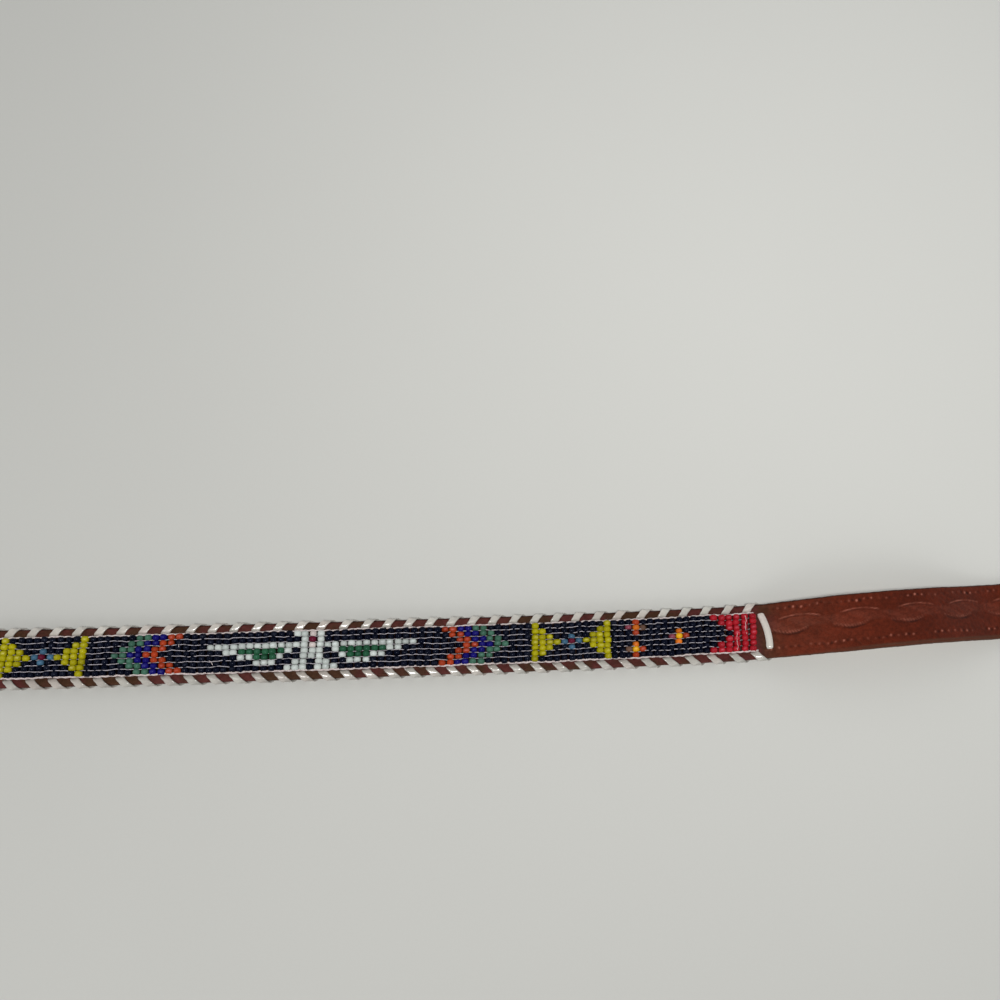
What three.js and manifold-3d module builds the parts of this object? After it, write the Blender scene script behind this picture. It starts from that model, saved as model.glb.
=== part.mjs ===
// A leather belt with a panel of woven seed beads and white lacing along both edges.
// Millimetres, +Z up. The belt lies face up along X, its far edge towards +Y.
// Belt space: s runs along the belt from the middle of the beaded panel, v across it
// towards the far edge, and n up from the underside of the strap.
import * as THREE from 'three';
import { mergeVertices } from 'three/addons/utils/BufferGeometryUtils.js';
import Module from 'manifold-3d';

const wasm = await Module();
wasm.setup();

// Clearance between pieces that touch, and how far a cutter runs past what it cuts
const GAP = 0.3;
const CUT_MARGIN = 1;

// Strap
const STRAP_WIDTH = 24.6;
const STRAP_THICKNESS = 3.0;
const STRAP_EDGE_BEVEL = 0.5;
const TIP_STRAP_LENGTH = 300;
const BUCKLE_STRAP_LENGTH = 100;
const TIP_POINT_LENGTH = 20;
const LACED_PINCH = 0.7;
const PINCH_BLEND = 4;

// Holes near the tip
const HOLE_COUNT = 5;
const HOLE_SPACING = 25.4;
const HOLE_DIAMETER = 4;
const HOLE_SIDES = 10;
const LAST_HOLE_TO_TIP = 70;

// Beaded panel: beads lie across the strap, 7 rows side by side
const BEAD_ROWS = 7;
const BEAD_COLUMNS = 187;
const BEAD_PITCH_ALONG = 3.22;
const BEAD_PITCH_ACROSS = 2.32;
const BEAD_DIAMETER = 3.0;
const ROW_GROOVE = 0.5;

// Lacing: a flat lace that spirals round each edge through slits beside the beads
const LACE_WIDTH = 3.4;
const LACE_THICKNESS = 0.8;
const LACE_PITCH = 9.05;
const FAR_TURNS = 66;
const NEAR_TURNS = 67;
const LACE_FRONT_SHARE = 0.34;
const LACE_EDGE_SHARE = 0.27;
const LACE_TAIL_SHARE = 0.2;

// Stitch across the strap past each end of the beads
const END_STITCH_FROM_BEADS = 3.4;
const END_STITCH_HALF_SPAN = 8;
const END_STITCH_SLANT = 2.0;
const END_STITCH_BOW = 0.9;
const END_STITCH_TAIL = 4;

// The arch where the strap lifts off the table, and its sideways lean, near edge raised
const ARCH_START = 290;
const ARCH_LENGTH = 130;
const ARCH_HEIGHT = 11;
const ARCH_FULLNESS = 0.6;
const LEAN_START = 310;
const LEAN_LENGTH = 150;
const LEAN_ANGLE = 7;

// Buckle end
const BAR_SIZE = 3.4;
const BUCKLE_LENGTH = 28;
const BUCKLE_SIDE = 4;
const BUCKLE_SIDE_PLAY = 1.4;
const BUCKLE_CORNER = 7;
const BUCKLE_BEVEL = 0.5;
const PRONG_DIAMETER = 3.2;
const PRONG_SLOT_PLAY = 0.7;
const PRONG_SLOT_LENGTH = 12;
const PRONG_CURL_WALL = 0.8;
const FLAP_LENGTH = 52;
const FLAP_END_RAMP = 24;
const KEEPER_FROM_BAR = 24;
const KEEPER_WIDTH = 9;
const KEEPER_THICKNESS = 1.5;
const KEEPER_ROOM = 4.8;
const KEEPER_CORNER = 1.6;

// Derived sizes
const PANEL_HALF = (BEAD_COLUMNS * BEAD_PITCH_ALONG) / 2;
const PANEL_HALF_WIDTH = (BEAD_ROWS * BEAD_PITCH_ACROSS) / 2;
const TIP_S = PANEL_HALF + TIP_STRAP_LENGTH;
const BAR_S = -PANEL_HALF - BUCKLE_STRAP_LENGTH;
const LACED_HALF = STRAP_WIDTH / 2 - LACED_PINCH;
const RIM_INNER = PANEL_HALF_WIDTH + LACE_THICKNESS + 2 * GAP;
const LACE_LIFT = LACE_THICKNESS + GAP;
const LACED_END = ((NEAR_TURNS - 1) / 2 + LACE_FRONT_SHARE + LACE_EDGE_SHARE) * LACE_PITCH
  + LACE_WIDTH / 2 + GAP;
const BAR_REACH = Math.hypot(BAR_SIZE / 2, BAR_SIZE / 2 - BUCKLE_BEVEL);
const FOLD_RADIUS = BAR_REACH + GAP;
const BAR_HEIGHT = STRAP_THICKNESS + FOLD_RADIUS;
const FLAP_TOP = STRAP_THICKNESS + GAP;
const KEEPER_LIFT = FLAP_TOP + KEEPER_THICKNESS + GAP;

// Heading of the belt seen from above: share of half the panel's length, degrees
const HEADINGS = [
  { share: -1.4, degrees: -1.0 },
  { share: 0.0, degrees: -0.9 },
  { share: 0.66, degrees: -0.3 },
  { share: 0.95, degrees: 0.9 },
  { share: 1.08, degrees: 2.4 },
  { share: 1.4, degrees: 2.8 },
  { share: 2.0, degrees: 1.2 },
];

// Outline of the tip: share of the point's length, share of the half width
const TIP_OUTLINE = [
  { along: 0.0, width: 1.0 },
  { along: 0.3, width: 0.95 },
  { along: 0.55, width: 0.82 },
  { along: 0.78, width: 0.6 },
  { along: 0.93, width: 0.36 },
  { along: 1.0, width: 0.14 },
];

// Height of the strap's underside near the buckle: distance from the bar, height
const BUCKLE_END_HEIGHTS = [
  { from: 0, height: BAR_HEIGHT + FOLD_RADIUS },
  { from: KEEPER_FROM_BAR - KEEPER_WIDTH * 0.62, height: KEEPER_LIFT },
  { from: KEEPER_FROM_BAR + KEEPER_WIDTH * 0.62, height: KEEPER_LIFT },
  { from: FLAP_LENGTH * 0.94, height: FLAP_TOP },
  { from: FLAP_LENGTH * 1.02, height: FLAP_TOP },
  { from: FLAP_LENGTH + FLAP_END_RAMP, height: LACE_LIFT },
];

// Where the flap has sections, as shares of its length from the bar
const FLAP_SECTIONS = [0, 0.2, 0.5, 1];
const FOLD_TURNS = 6;

const smooth = (t) => t * t * (3 - 2 * t);
const clamp01 = (t) => Math.min(1, Math.max(0, t));
const radians = THREE.MathUtils.degToRad;

// Reads a value off a table of rows, straight or eased between them
function along(rows, at, value, x, ease = (t) => t) {
  if (x <= rows[0][at]) return rows[0][value];
  for (let i = 1; i < rows.length; i++) {
    const a = rows[i - 1];
    const b = rows[i];
    if (x <= b[at]) return a[value] + (b[value] - a[value]) * ease((x - a[at]) / (b[at] - a[at]));
  }
  return rows[rows.length - 1][value];
}

function headingAt(s) {
  return radians(along(HEADINGS, 'share', 'degrees', s / PANEL_HALF));
}

// Height of the strap's underside above the table
function heightAt(s) {
  if (s < -PANEL_HALF) return along(BUCKLE_END_HEIGHTS, 'from', 'height', s - BAR_S, smooth);
  const u = clamp01((s - ARCH_START) / ARCH_LENGTH);
  const rise = Math.sin(Math.PI * u) ** 2;
  const arch = ARCH_HEIGHT * rise * (1 + ARCH_FULLNESS * (1 - rise));
  const settled = smooth(clamp01((s - LACED_END) / (ARCH_LENGTH / 2)));
  return arch + LACE_LIFT * (1 - settled) + (STRAP_WIDTH / 2) * Math.sin(leanAt(s));
}

function leanAt(s) {
  const u = clamp01((s - LEAN_START) / LEAN_LENGTH);
  return radians(LEAN_ANGLE) * Math.sin(Math.PI * u) ** 2;
}

// Rise of the strap for each millimetre along it
const slopeAt = (s) => heightAt(s + 0.5) - heightAt(s - 0.5);

// Middle line of the strap seen from above, walked out from the panel's middle in 1 mm steps
const spine = new Map([[0, new THREE.Vector2(0, 0)]]);
function walk(end) {
  const sign = Math.sign(end);
  for (let i = 1; i <= Math.abs(end) + 2; i++) {
    const s = sign * (i - 0.5);
    const run = sign * Math.sqrt(1 - slopeAt(s) ** 2);
    const step = new THREE.Vector2(Math.cos(headingAt(s)), Math.sin(headingAt(s))).multiplyScalar(run);
    spine.set(sign * i, step.add(spine.get(sign * (i - 1))));
  }
}
walk(TIP_S);
walk(BAR_S);

// Frame at s: origin on the underside, v towards the far edge, n up out of the face
function frameAt(s) {
  const before = Math.floor(s);
  const middle = new THREE.Vector2().lerpVectors(spine.get(before), spine.get(before + 1), s - before);
  const heading = headingAt(s);
  const slope = slopeAt(s);
  const run = Math.sqrt(1 - slope * slope);
  const forward = new THREE.Vector3(Math.cos(heading) * run, Math.sin(heading) * run, slope);
  const side = new THREE.Vector3(-Math.sin(heading), Math.cos(heading), 0);
  const up = new THREE.Vector3().crossVectors(forward, side);
  const lean = leanAt(s);
  return {
    origin: new THREE.Vector3(middle.x, middle.y, heightAt(s)),
    v: side.clone().multiplyScalar(Math.cos(lean)).addScaledVector(up, -Math.sin(lean)),
    n: up.clone().multiplyScalar(Math.cos(lean)).addScaledVector(side, Math.sin(lean)),
  };
}

function place(frame, v, n) {
  return frame.origin.clone().addScaledVector(frame.v, v).addScaledVector(frame.n, n);
}

const beltPoint = (s, v, n) => place(frameAt(s), v, n);

// Closed body through rings of points with equal counts; ends are filled from flat outlines
function loft(rings, outline) {
  const count = rings[0].length;
  const positions = rings.flatMap((ring) => ring.flatMap((p) => [p.x, p.y, p.z]));
  const index = [];
  for (let r = 0; r + 1 < rings.length; r++) {
    for (let i = 0; i < count; i++) {
      const a = r * count + i;
      const b = r * count + ((i + 1) % count);
      index.push(a, b, b + count, a, b + count, a + count);
    }
  }
  const last = (rings.length - 1) * count;
  for (const [i, j, k] of THREE.ShapeUtils.triangulateShape(outline, [])) {
    index.push(i, k, j, last + i, last + j, last + k);
  }
  const geometry = new THREE.BufferGeometry();
  geometry.setAttribute('position', new THREE.Float32BufferAttribute(positions, 3));
  geometry.setIndex(index);
  return facingOut(geometry);
}

// Turns every face round when the body is inside out
function facingOut(geometry) {
  const p = geometry.getAttribute('position');
  const index = Array.from(geometry.getIndex().array);
  let volume = 0;
  for (let i = 0; i < index.length; i += 3) {
    const [a, b, c] = [0, 1, 2].map((k) => new THREE.Vector3().fromBufferAttribute(p, index[i + k]));
    volume += a.dot(b.cross(c));
  }
  if (volume < 0) {
    for (let i = 0; i < index.length; i += 3) [index[i], index[i + 1]] = [index[i + 1], index[i]];
  }
  geometry.setIndex(index);
  return geometry;
}

function toSolid(geometry) {
  const bare = geometry.clone();
  for (const name of Object.keys(bare.attributes)) if (name !== 'position') bare.deleteAttribute(name);
  const merged = mergeVertices(bare, 1e-4);
  return new wasm.Manifold(new wasm.Mesh({
    numProp: 3,
    vertProperties: new Float32Array(merged.getAttribute('position').array),
    triVerts: new Uint32Array(merged.getIndex().array),
  }));
}

function toGeometry(solid) {
  const mesh = solid.getMesh();
  const geometry = new THREE.BufferGeometry();
  geometry.setAttribute('position', new THREE.BufferAttribute(new Float32Array(mesh.vertProperties), 3));
  geometry.setIndex(new THREE.BufferAttribute(new Uint32Array(mesh.triVerts), 1));
  return geometry;
}

// Moves the points of a geometry drawn as (s, v, n) to where the belt lies
function layOnBelt(geometry) {
  const p = geometry.getAttribute('position');
  for (let i = 0; i < p.count; i++) {
    const q = beltPoint(p.getX(i), p.getY(i), p.getZ(i));
    p.setXYZ(i, q.x, q.y, q.z);
  }
  return geometry;
}

// A block through the strap, given by its middle and size in belt space
function cutter(s, v, length, width) {
  const depth = STRAP_THICKNESS + 2 * CUT_MARGIN;
  const box = new THREE.BoxGeometry(length, width, depth);
  return layOnBelt(box.translate(s, v, STRAP_THICKNESS / 2));
}

const union = (solids) => solids.reduce((all, one) => all.add(one));

// Half width of the strap, pulled in where the lacing grips it and drawn to a point at the tip
function halfWidthAt(s) {
  const out = smooth(clamp01((Math.abs(s) - LACED_END) / PINCH_BLEND));
  const half = LACED_HALF + LACED_PINCH * out;
  return half * along(TIP_OUTLINE, 'along', 'width', 1 + (s - TIP_S) / TIP_POINT_LENGTH);
}

function strapSection(half) {
  const top = STRAP_THICKNESS;
  const bevel = Math.min(STRAP_EDGE_BEVEL, half / 2);
  return [
    new THREE.Vector2(-half, 0),
    new THREE.Vector2(half, 0),
    new THREE.Vector2(half, top - bevel),
    new THREE.Vector2(half - bevel, top),
    new THREE.Vector2(bevel - half, top),
    new THREE.Vector2(-half, top - bevel),
  ];
}

// Stations along the strap: close together where it bends, wide apart where it is straight
function stations(from, to, spacing) {
  const count = Math.max(1, Math.round((to - from) / spacing));
  return Array.from({ length: count }, (_, i) => from + ((to - from) * i) / count);
}

function strapStations() {
  const rampEnd = BAR_S + FLAP_LENGTH + FLAP_END_RAMP;
  const archEnd = ARCH_START + ARCH_LENGTH;
  return [
    ...stations(BAR_S, rampEnd, 4.5),
    ...stations(rampEnd, -LACED_END - PINCH_BLEND, 20),
    ...stations(-LACED_END - PINCH_BLEND, -LACED_END, PINCH_BLEND / 2),
    ...stations(-LACED_END, ARCH_START, 28),
    ...stations(ARCH_START, LACED_END, 5),
    ...stations(LACED_END, LACED_END + PINCH_BLEND, PINCH_BLEND / 2),
    ...stations(LACED_END + PINCH_BLEND, archEnd, 6.5),
    ...stations(archEnd, LEAN_START + LEAN_LENGTH, 12),
    ...stations(LEAN_START + LEAN_LENGTH, TIP_S - TIP_POINT_LENGTH, 26),
    ...TIP_OUTLINE.map((row) => TIP_S - TIP_POINT_LENGTH * (1 - row.along)),
  ];
}

// Frames of the fold round the bar and of the flap that comes back under the strap
function foldFrames() {
  const top = frameAt(BAR_S);
  const ahead = new THREE.Vector3(Math.cos(headingAt(BAR_S)), Math.sin(headingAt(BAR_S)), 0);
  const bar = top.origin.clone().setZ(BAR_HEIGHT);
  const up = new THREE.Vector3(0, 0, 1);
  const flapStart = bar.clone().addScaledVector(up, -FOLD_RADIUS);
  const frames = FLAP_SECTIONS.map((share) => ({
    origin: flapStart.clone().addScaledVector(ahead, FLAP_LENGTH * share),
    v: top.v,
    n: up.clone().negate(),
  })).reverse();
  for (let i = FOLD_TURNS - 1; i > 0; i--) {
    const angle = (Math.PI * i) / FOLD_TURNS;
    const n = up.clone().multiplyScalar(Math.cos(angle)).addScaledVector(ahead, -Math.sin(angle));
    frames.push({ origin: bar.clone().addScaledVector(n, FOLD_RADIUS), v: top.v, n });
  }
  return frames;
}

// Places where a lace passes through the strap on one edge
const slitPlaces = (turns) => Array.from({ length: turns }, (_, i) => (i - (turns - 1) / 2) * LACE_PITCH);

function slits() {
  const length = LACE_WIDTH + 2 * GAP;
  const width = LACE_THICKNESS + 2 * GAP;
  const middle = RIM_INNER - width / 2;
  const cuts = [
    ...slitPlaces(FAR_TURNS).map((s) => cutter(s, middle, length, width)),
    ...slitPlaces(NEAR_TURNS).map((s) => cutter(s, -middle, length, width)),
  ];
  for (const end of [-1, 1]) {
    for (const side of [-1, 1]) {
      const s = end * (PANEL_HALF + END_STITCH_FROM_BEADS - (side * END_STITCH_SLANT) / 2);
      cuts.push(cutter(s, side * (END_STITCH_HALF_SPAN + LACE_THICKNESS / 2), length, width));
    }
  }
  return cuts;
}

function holes() {
  const hole = HOLE_DIAMETER / 2;
  return Array.from({ length: HOLE_COUNT }, (_, i) => {
    const punch = new THREE.CylinderGeometry(hole, hole, STRAP_THICKNESS + 2 * CUT_MARGIN, HOLE_SIDES);
    punch.rotateX(Math.PI / 2);
    punch.translate(TIP_S - LAST_HOLE_TO_TIP - i * HOLE_SPACING, 0, STRAP_THICKNESS / 2);
    return layOnBelt(punch);
  });
}

// Slot for the prong, through the fold and both layers beside it
function prongSlot() {
  const length = PRONG_SLOT_LENGTH + FOLD_RADIUS + STRAP_THICKNESS + CUT_MARGIN;
  const height = 2 * (BAR_HEIGHT + STRAP_THICKNESS);
  const slot = new THREE.BoxGeometry(length, PRONG_DIAMETER + 2 * PRONG_SLOT_PLAY, height);
  slot.translate(PRONG_SLOT_LENGTH - length / 2, 0, 0);
  return inBuckleFrame(slot, 0);
}

function strap() {
  const rings = foldFrames().map((frame) => (
    strapSection(STRAP_WIDTH / 2).map((p) => place(frame, p.x, p.y))));
  for (const s of strapStations()) {
    rings.push(strapSection(halfWidthAt(s)).map((p) => beltPoint(s, p.x, p.y)));
  }
  const body = toSolid(loft(rings, strapSection(STRAP_WIDTH / 2)));
  return toGeometry(body.subtract(union([...slits(), ...holes(), prongSlot()].map(toSolid))));
}

// Outline of the woven band: flat below, one low crest for each row of beads
function bandSection(share) {
  const base = STRAP_THICKNESS + GAP;
  const crest = base + BEAD_DIAMETER * share;
  const groove = crest - ROW_GROOVE * share;
  const half = PANEL_HALF_WIDTH;
  const points = [new THREE.Vector2(-half, base), new THREE.Vector2(half, base)];
  for (let row = BEAD_ROWS - 1; row >= 0; row--) {
    const near = row * BEAD_PITCH_ACROSS - half;
    points.push(new THREE.Vector2(near + BEAD_PITCH_ACROSS, groove));
    points.push(new THREE.Vector2(near + BEAD_PITCH_ACROSS * 0.8, crest));
    points.push(new THREE.Vector2(near + BEAD_PITCH_ACROSS * 0.2, crest));
  }
  points.push(new THREE.Vector2(-half, groove));
  return points;
}

function beadPanel() {
  const round = BEAD_DIAMETER / 3;
  const places = [
    -PANEL_HALF,
    ...stations(-PANEL_HALF + round, ARCH_START, 28),
    ...stations(ARCH_START, PANEL_HALF - round, 5),
    PANEL_HALF - round,
    PANEL_HALF,
  ];
  const rings = places.map((s) => {
    const share = Math.abs(s) > PANEL_HALF - round / 2 ? 0.6 : 1;
    return bandSection(share).map((p) => beltPoint(s, p.x, p.y));
  });
  return loft(rings, bandSection(0.6));
}

// A flat lace through rows of { s, inner, outer }: where it lies along the belt, and the
// (v, n) of the face against the leather and of the face away from it
function lace(rows) {
  const section = (row) => {
    const before = row.s - LACE_WIDTH / 2;
    const after = row.s + LACE_WIDTH / 2;
    return [
      beltPoint(before, ...row.inner),
      beltPoint(after, ...row.inner),
      beltPoint(after, ...row.outer),
      beltPoint(before, ...row.outer),
    ];
  };
  const square = [[0, 0], [1, 0], [1, 1], [0, 1]].map(([x, y]) => new THREE.Vector2(x, y));
  return loft(rows.map(section), square);
}

// The four bends of a lace round a rim of leather from v = a to v = b
function rimCorners(a, b) {
  const low = -GAP;
  const high = STRAP_THICKNESS + GAP;
  const out = Math.sign(b - a);
  const [from, to] = [a - GAP * out, b + GAP * out];
  const [farFrom, farTo] = [from - LACE_THICKNESS * out, to + LACE_THICKNESS * out];
  return {
    up: { inner: [from, low], outer: [farFrom, low - LACE_THICKNESS] },
    over: { inner: [from, high], outer: [farFrom, high + LACE_THICKNESS] },
    edge: { inner: [to, high], outer: [farTo, high + LACE_THICKNESS] },
    under: { inner: [to, low], outer: [farTo, low - LACE_THICKNESS] },
  };
}

function lacing(side, turns) {
  const bend = rimCorners(side * RIM_INNER, side * LACED_HALF);
  const front = LACE_PITCH * LACE_FRONT_SHARE;
  const edge = front + LACE_PITCH * LACE_EDGE_SHARE;
  const rows = slitPlaces(turns).flatMap((s) => [
    { s, ...bend.up },
    { s, ...bend.over },
    { s: s + front, ...bend.edge },
    { s: s + edge, ...bend.under },
  ]);
  const tail = rows[rows.length - 1];
  const end = side * RIM_INNER;
  rows.push({
    s: tail.s + LACE_PITCH * LACE_TAIL_SHARE,
    inner: [end, tail.inner[1]],
    outer: [end, tail.outer[1]],
  });
  return lace(rows);
}

function endStitch(end) {
  const half = END_STITCH_HALF_SPAN;
  const bend = rimCorners(-half, half);
  const middle = end * (PANEL_HALF + END_STITCH_FROM_BEADS);
  const at = (share) => middle + end * (-share * END_STITCH_SLANT / 2 + END_STITCH_BOW * (1 - share * share));
  const tail = half - END_STITCH_TAIL;
  const across = [-0.6, -0.2, 0.2, 0.6].map((share) => ({
    s: at(share),
    inner: [share * half, bend.over.inner[1]],
    outer: [share * half, bend.over.outer[1]],
  }));
  return lace([
    { s: at(-1), inner: [-tail, bend.up.inner[1]], outer: [-tail, bend.up.outer[1]] },
    { s: at(-1), ...bend.up },
    { s: at(-1), ...bend.over },
    ...across,
    { s: at(1), ...bend.edge },
    { s: at(1), ...bend.under },
    { s: at(1), inner: [tail, bend.under.inner[1]], outer: [tail, bend.under.outer[1]] },
  ]);
}

function roundedRectangle(shape, left, bottom, right, top, radius) {
  shape.moveTo(left + radius, bottom);
  shape.lineTo(right - radius, bottom);
  shape.absarc(right - radius, bottom + radius, radius, -Math.PI / 2, 0);
  shape.lineTo(right, top - radius);
  shape.absarc(right - radius, top - radius, radius, 0, Math.PI / 2);
  shape.lineTo(left + radius, top);
  shape.absarc(left + radius, top - radius, radius, Math.PI / 2, Math.PI);
  shape.lineTo(left, bottom + radius);
  shape.absarc(left + radius, bottom + radius, radius, Math.PI, Math.PI * 1.5);
  return shape;
}

// Leather loop round the strap, over its flap, with room above for the tip
function keeperLoop() {
  const side = STRAP_WIDTH / 2 + GAP * 2;
  const wall = KEEPER_THICKNESS;
  const top = STRAP_THICKNESS + KEEPER_ROOM;
  const outline = roundedRectangle(new THREE.Shape(), -side - wall, -GAP - wall, side + wall, top + wall,
    KEEPER_CORNER + wall / 2);
  outline.holes.push(roundedRectangle(new THREE.Path(), -side, -GAP, side, top, KEEPER_CORNER / 2));
  const loop = new THREE.ExtrudeGeometry(outline, {
    depth: KEEPER_WIDTH, bevelEnabled: false, curveSegments: 3,
  });
  // Drawn across and up, then turned so that its depth runs along the belt
  loop.applyMatrix4(new THREE.Matrix4().makeBasis(
    new THREE.Vector3(0, 1, 0), new THREE.Vector3(0, 0, 1), new THREE.Vector3(1, 0, 0)));
  loop.translate(BAR_S + KEEPER_FROM_BAR - KEEPER_WIDTH / 2, 0, 0);
  return layOnBelt(loop);
}

// Puts a geometry drawn round the bar's axis, +X towards the beads, where the buckle lies
function inBuckleFrame(geometry, tilt) {
  const { origin } = frameAt(BAR_S);
  geometry.rotateY(-tilt);
  geometry.rotateZ(headingAt(BAR_S));
  return geometry.translate(origin.x, origin.y, BAR_HEIGHT);
}

function buckle() {
  const innerHalf = STRAP_WIDTH / 2 + BUCKLE_SIDE_PLAY;
  const outerHalf = innerHalf + BUCKLE_SIDE;
  const heel = BAR_SIZE / 2;
  const reach = BUCKLE_LENGTH - heel;
  const bevel = BUCKLE_BEVEL;
  const outline = roundedRectangle(new THREE.Shape(), bevel - reach, bevel - outerHalf, heel - bevel,
    outerHalf - bevel, Math.min(BUCKLE_CORNER, BUCKLE_LENGTH / 4));
  outline.holes.push(roundedRectangle(new THREE.Path(), BUCKLE_SIDE - reach - bevel, -innerHalf - bevel,
    -heel + bevel, innerHalf + bevel, BUCKLE_CORNER / 3));
  const frame = new THREE.ExtrudeGeometry(outline, {
    depth: BAR_SIZE - 2 * bevel, bevelThickness: bevel, bevelSize: bevel, bevelSegments: 1, curveSegments: 4,
  });
  frame.translate(0, 0, bevel - BAR_SIZE / 2);
  // The prong runs from the bar's middle up to the far side's top face, and is fused to both
  const radius = PRONG_DIAMETER / 2;
  const rise = BAR_SIZE / 2 + radius * 0.7;
  const end = reach - BUCKLE_SIDE * 0.2;
  const prong = new THREE.CylinderGeometry(radius, radius * 0.8, Math.hypot(end, rise), 8);
  prong.rotateZ(Math.PI / 2);
  prong.rotateY(Math.atan2(rise, end));
  prong.translate(-end / 2, 0, rise / 2);
  const around = BAR_REACH + PRONG_CURL_WALL;
  const curl = new THREE.CylinderGeometry(around, around, PRONG_DIAMETER, 12);
  const solid = union([frame, prong, curl].map(toSolid));
  const tilt = Math.asin((BAR_HEIGHT - BAR_SIZE / 2) / reach);
  return inBuckleFrame(toGeometry(solid), tilt);
}

const leather = () => new THREE.MeshStandardMaterial({ color: 0x54261a, roughness: 0.5, metalness: 0 });
const vinyl = () => new THREE.MeshStandardMaterial({ color: 0xe6dcd8, roughness: 0.3, metalness: 0 });
const glass = () => new THREE.MeshStandardMaterial({ color: 0x14162a, roughness: 0.15, metalness: 0 });
const brass = () => new THREE.MeshStandardMaterial({ color: 0xb9a066, roughness: 0.3, metalness: 1 });

const pieces = [
  ['strap', strap(), leather()],
  ['bead_panel', beadPanel(), glass()],
  ['lacing_far', lacing(1, FAR_TURNS), vinyl()],
  ['lacing_near', lacing(-1, NEAR_TURNS), vinyl()],
  ['end_lace_right', endStitch(1), vinyl()],
  ['end_lace_left', endStitch(-1), vinyl()],
  ['buckle', buckle(), brass()],
  ['keeper_loop', keeperLoop(), leather()],
];

const belt = new THREE.Group();
for (const [name, geometry, material] of pieces) {
  const mesh = new THREE.Mesh(geometry, material);
  mesh.name = name;
  belt.add(mesh);
}

// The origin is under the middle of the whole belt, on the table
const box = new THREE.Box3().setFromObject(belt);
const middle = box.getCenter(new THREE.Vector3());
belt.position.set(-middle.x, -middle.y, -box.min.z);

export default belt;
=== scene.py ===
"""A beaded leather belt lying on a pale table: single beads, threads, laces, tooled leather and brass.

Lengths are in metres. Belt space follows the belt as it lies: s runs along it from the middle
of the beaded panel, v across it towards the far edge, and n up from the strap's underside.
"""

import math
import random

import bmesh
import bpy
import numpy as np
from bpy.props import FloatProperty, FloatVectorProperty, IntProperty, PointerProperty
from bpy.types import Operator, Panel, PropertyGroup
from mathutils import Euler, Matrix, Vector


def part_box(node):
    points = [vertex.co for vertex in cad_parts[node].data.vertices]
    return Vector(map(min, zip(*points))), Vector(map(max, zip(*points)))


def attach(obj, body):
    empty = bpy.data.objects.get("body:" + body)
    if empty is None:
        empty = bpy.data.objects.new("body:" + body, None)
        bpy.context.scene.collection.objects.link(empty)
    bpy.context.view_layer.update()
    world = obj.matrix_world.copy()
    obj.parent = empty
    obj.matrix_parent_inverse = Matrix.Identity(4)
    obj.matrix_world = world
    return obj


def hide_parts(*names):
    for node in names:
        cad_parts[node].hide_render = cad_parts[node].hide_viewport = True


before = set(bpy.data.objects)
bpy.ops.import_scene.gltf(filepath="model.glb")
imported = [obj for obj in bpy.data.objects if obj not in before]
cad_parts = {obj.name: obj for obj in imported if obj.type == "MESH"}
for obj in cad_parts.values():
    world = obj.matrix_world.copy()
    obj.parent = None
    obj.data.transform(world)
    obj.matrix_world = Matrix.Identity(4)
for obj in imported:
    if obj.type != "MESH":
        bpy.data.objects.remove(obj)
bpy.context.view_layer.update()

bl_info = {
    "name": "Beaded Leather Belt",
    "version": (1, 0, 0),
    "blender": (4, 5, 0),
    "location": "View3D > Sidebar > Belt",
    "description": "Models a leather belt with a woven bead panel and laced edges",
    "category": "Add Mesh",
}

MM = 0.001

# Panel and lacing counts
BEAD_ROWS = 7
LAST_COLUMN = 93
FAR_TURNS = 66
NEAR_TURNS = 67

# Lengths of the strap and of its two ends
TIP_STRAP = 300 * MM
TIP_POINT = 20 * MM
BUCKLE_STRAP = 100 * MM
FLAP = 52 * MM
FLAP_RAMP = 24 * MM
HOLE_COUNT = 5
HOLE_SPACING = 25.4 * MM
HOLE_DIAMETER = 4 * MM
LAST_HOLE_TO_TIP = 70 * MM
CLEARANCE = 0.3 * MM

# How the belt lies: shares of half the panel's length, degrees seen from above
HEADING_SHARES = (-1.4, 0.0, 0.66, 0.95, 1.08, 1.4, 2.0)
HEADING_DEGREES = (-1.0, -0.9, -0.3, 0.9, 2.4, 2.8, 1.2)
ARCH_START = 290 * MM
ARCH_LENGTH = 130 * MM
ARCH_HEIGHT = 11 * MM
ARCH_FULLNESS = 0.6
LEAN_START = 310 * MM
LEAN_LENGTH = 150 * MM
LEAN_ANGLE = math.radians(7)

# How the lacing draws the strap in, and how its tip is rounded
PINCH_MARGIN = 4 * MM
PINCH_FADE = 42 * MM
TIP_SQUARENESS = 3.2

# Where the lacing ends: a share of the pitch past its last turn, and half a slanted lace
LACE_END_SHARE = 0.61
LACE_END_HALF = 1.7 * MM

# Threads finer than the selvages: the weft's loops, loose ends and threads across the rows
WEFT_DIAMETER = 0.3 * MM
STRAY_DIAMETER = 0.24 * MM
CROSSING_DIAMETER = 0.2 * MM

# Laces across the strap past the beads
END_LACE_GAP = 4.5 * MM
END_LACE_HALF = 7.6 * MM
END_LACE_SLANT = 2.3 * MM
END_LACE_BOW = 1.1 * MM
END_LACE_DIVE = 1.9 * MM

# Stamping on the leather
LEAF_LENGTH = 25.5 * MM
PEARL_SPACING = 3.36 * MM
PEARL_FROM_EDGE = 3.8 * MM
STAMP_SPACING = 1.3 * MM
TOOLING_GAP = 2 * MM
PLAIN_TIP = 26 * MM

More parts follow.
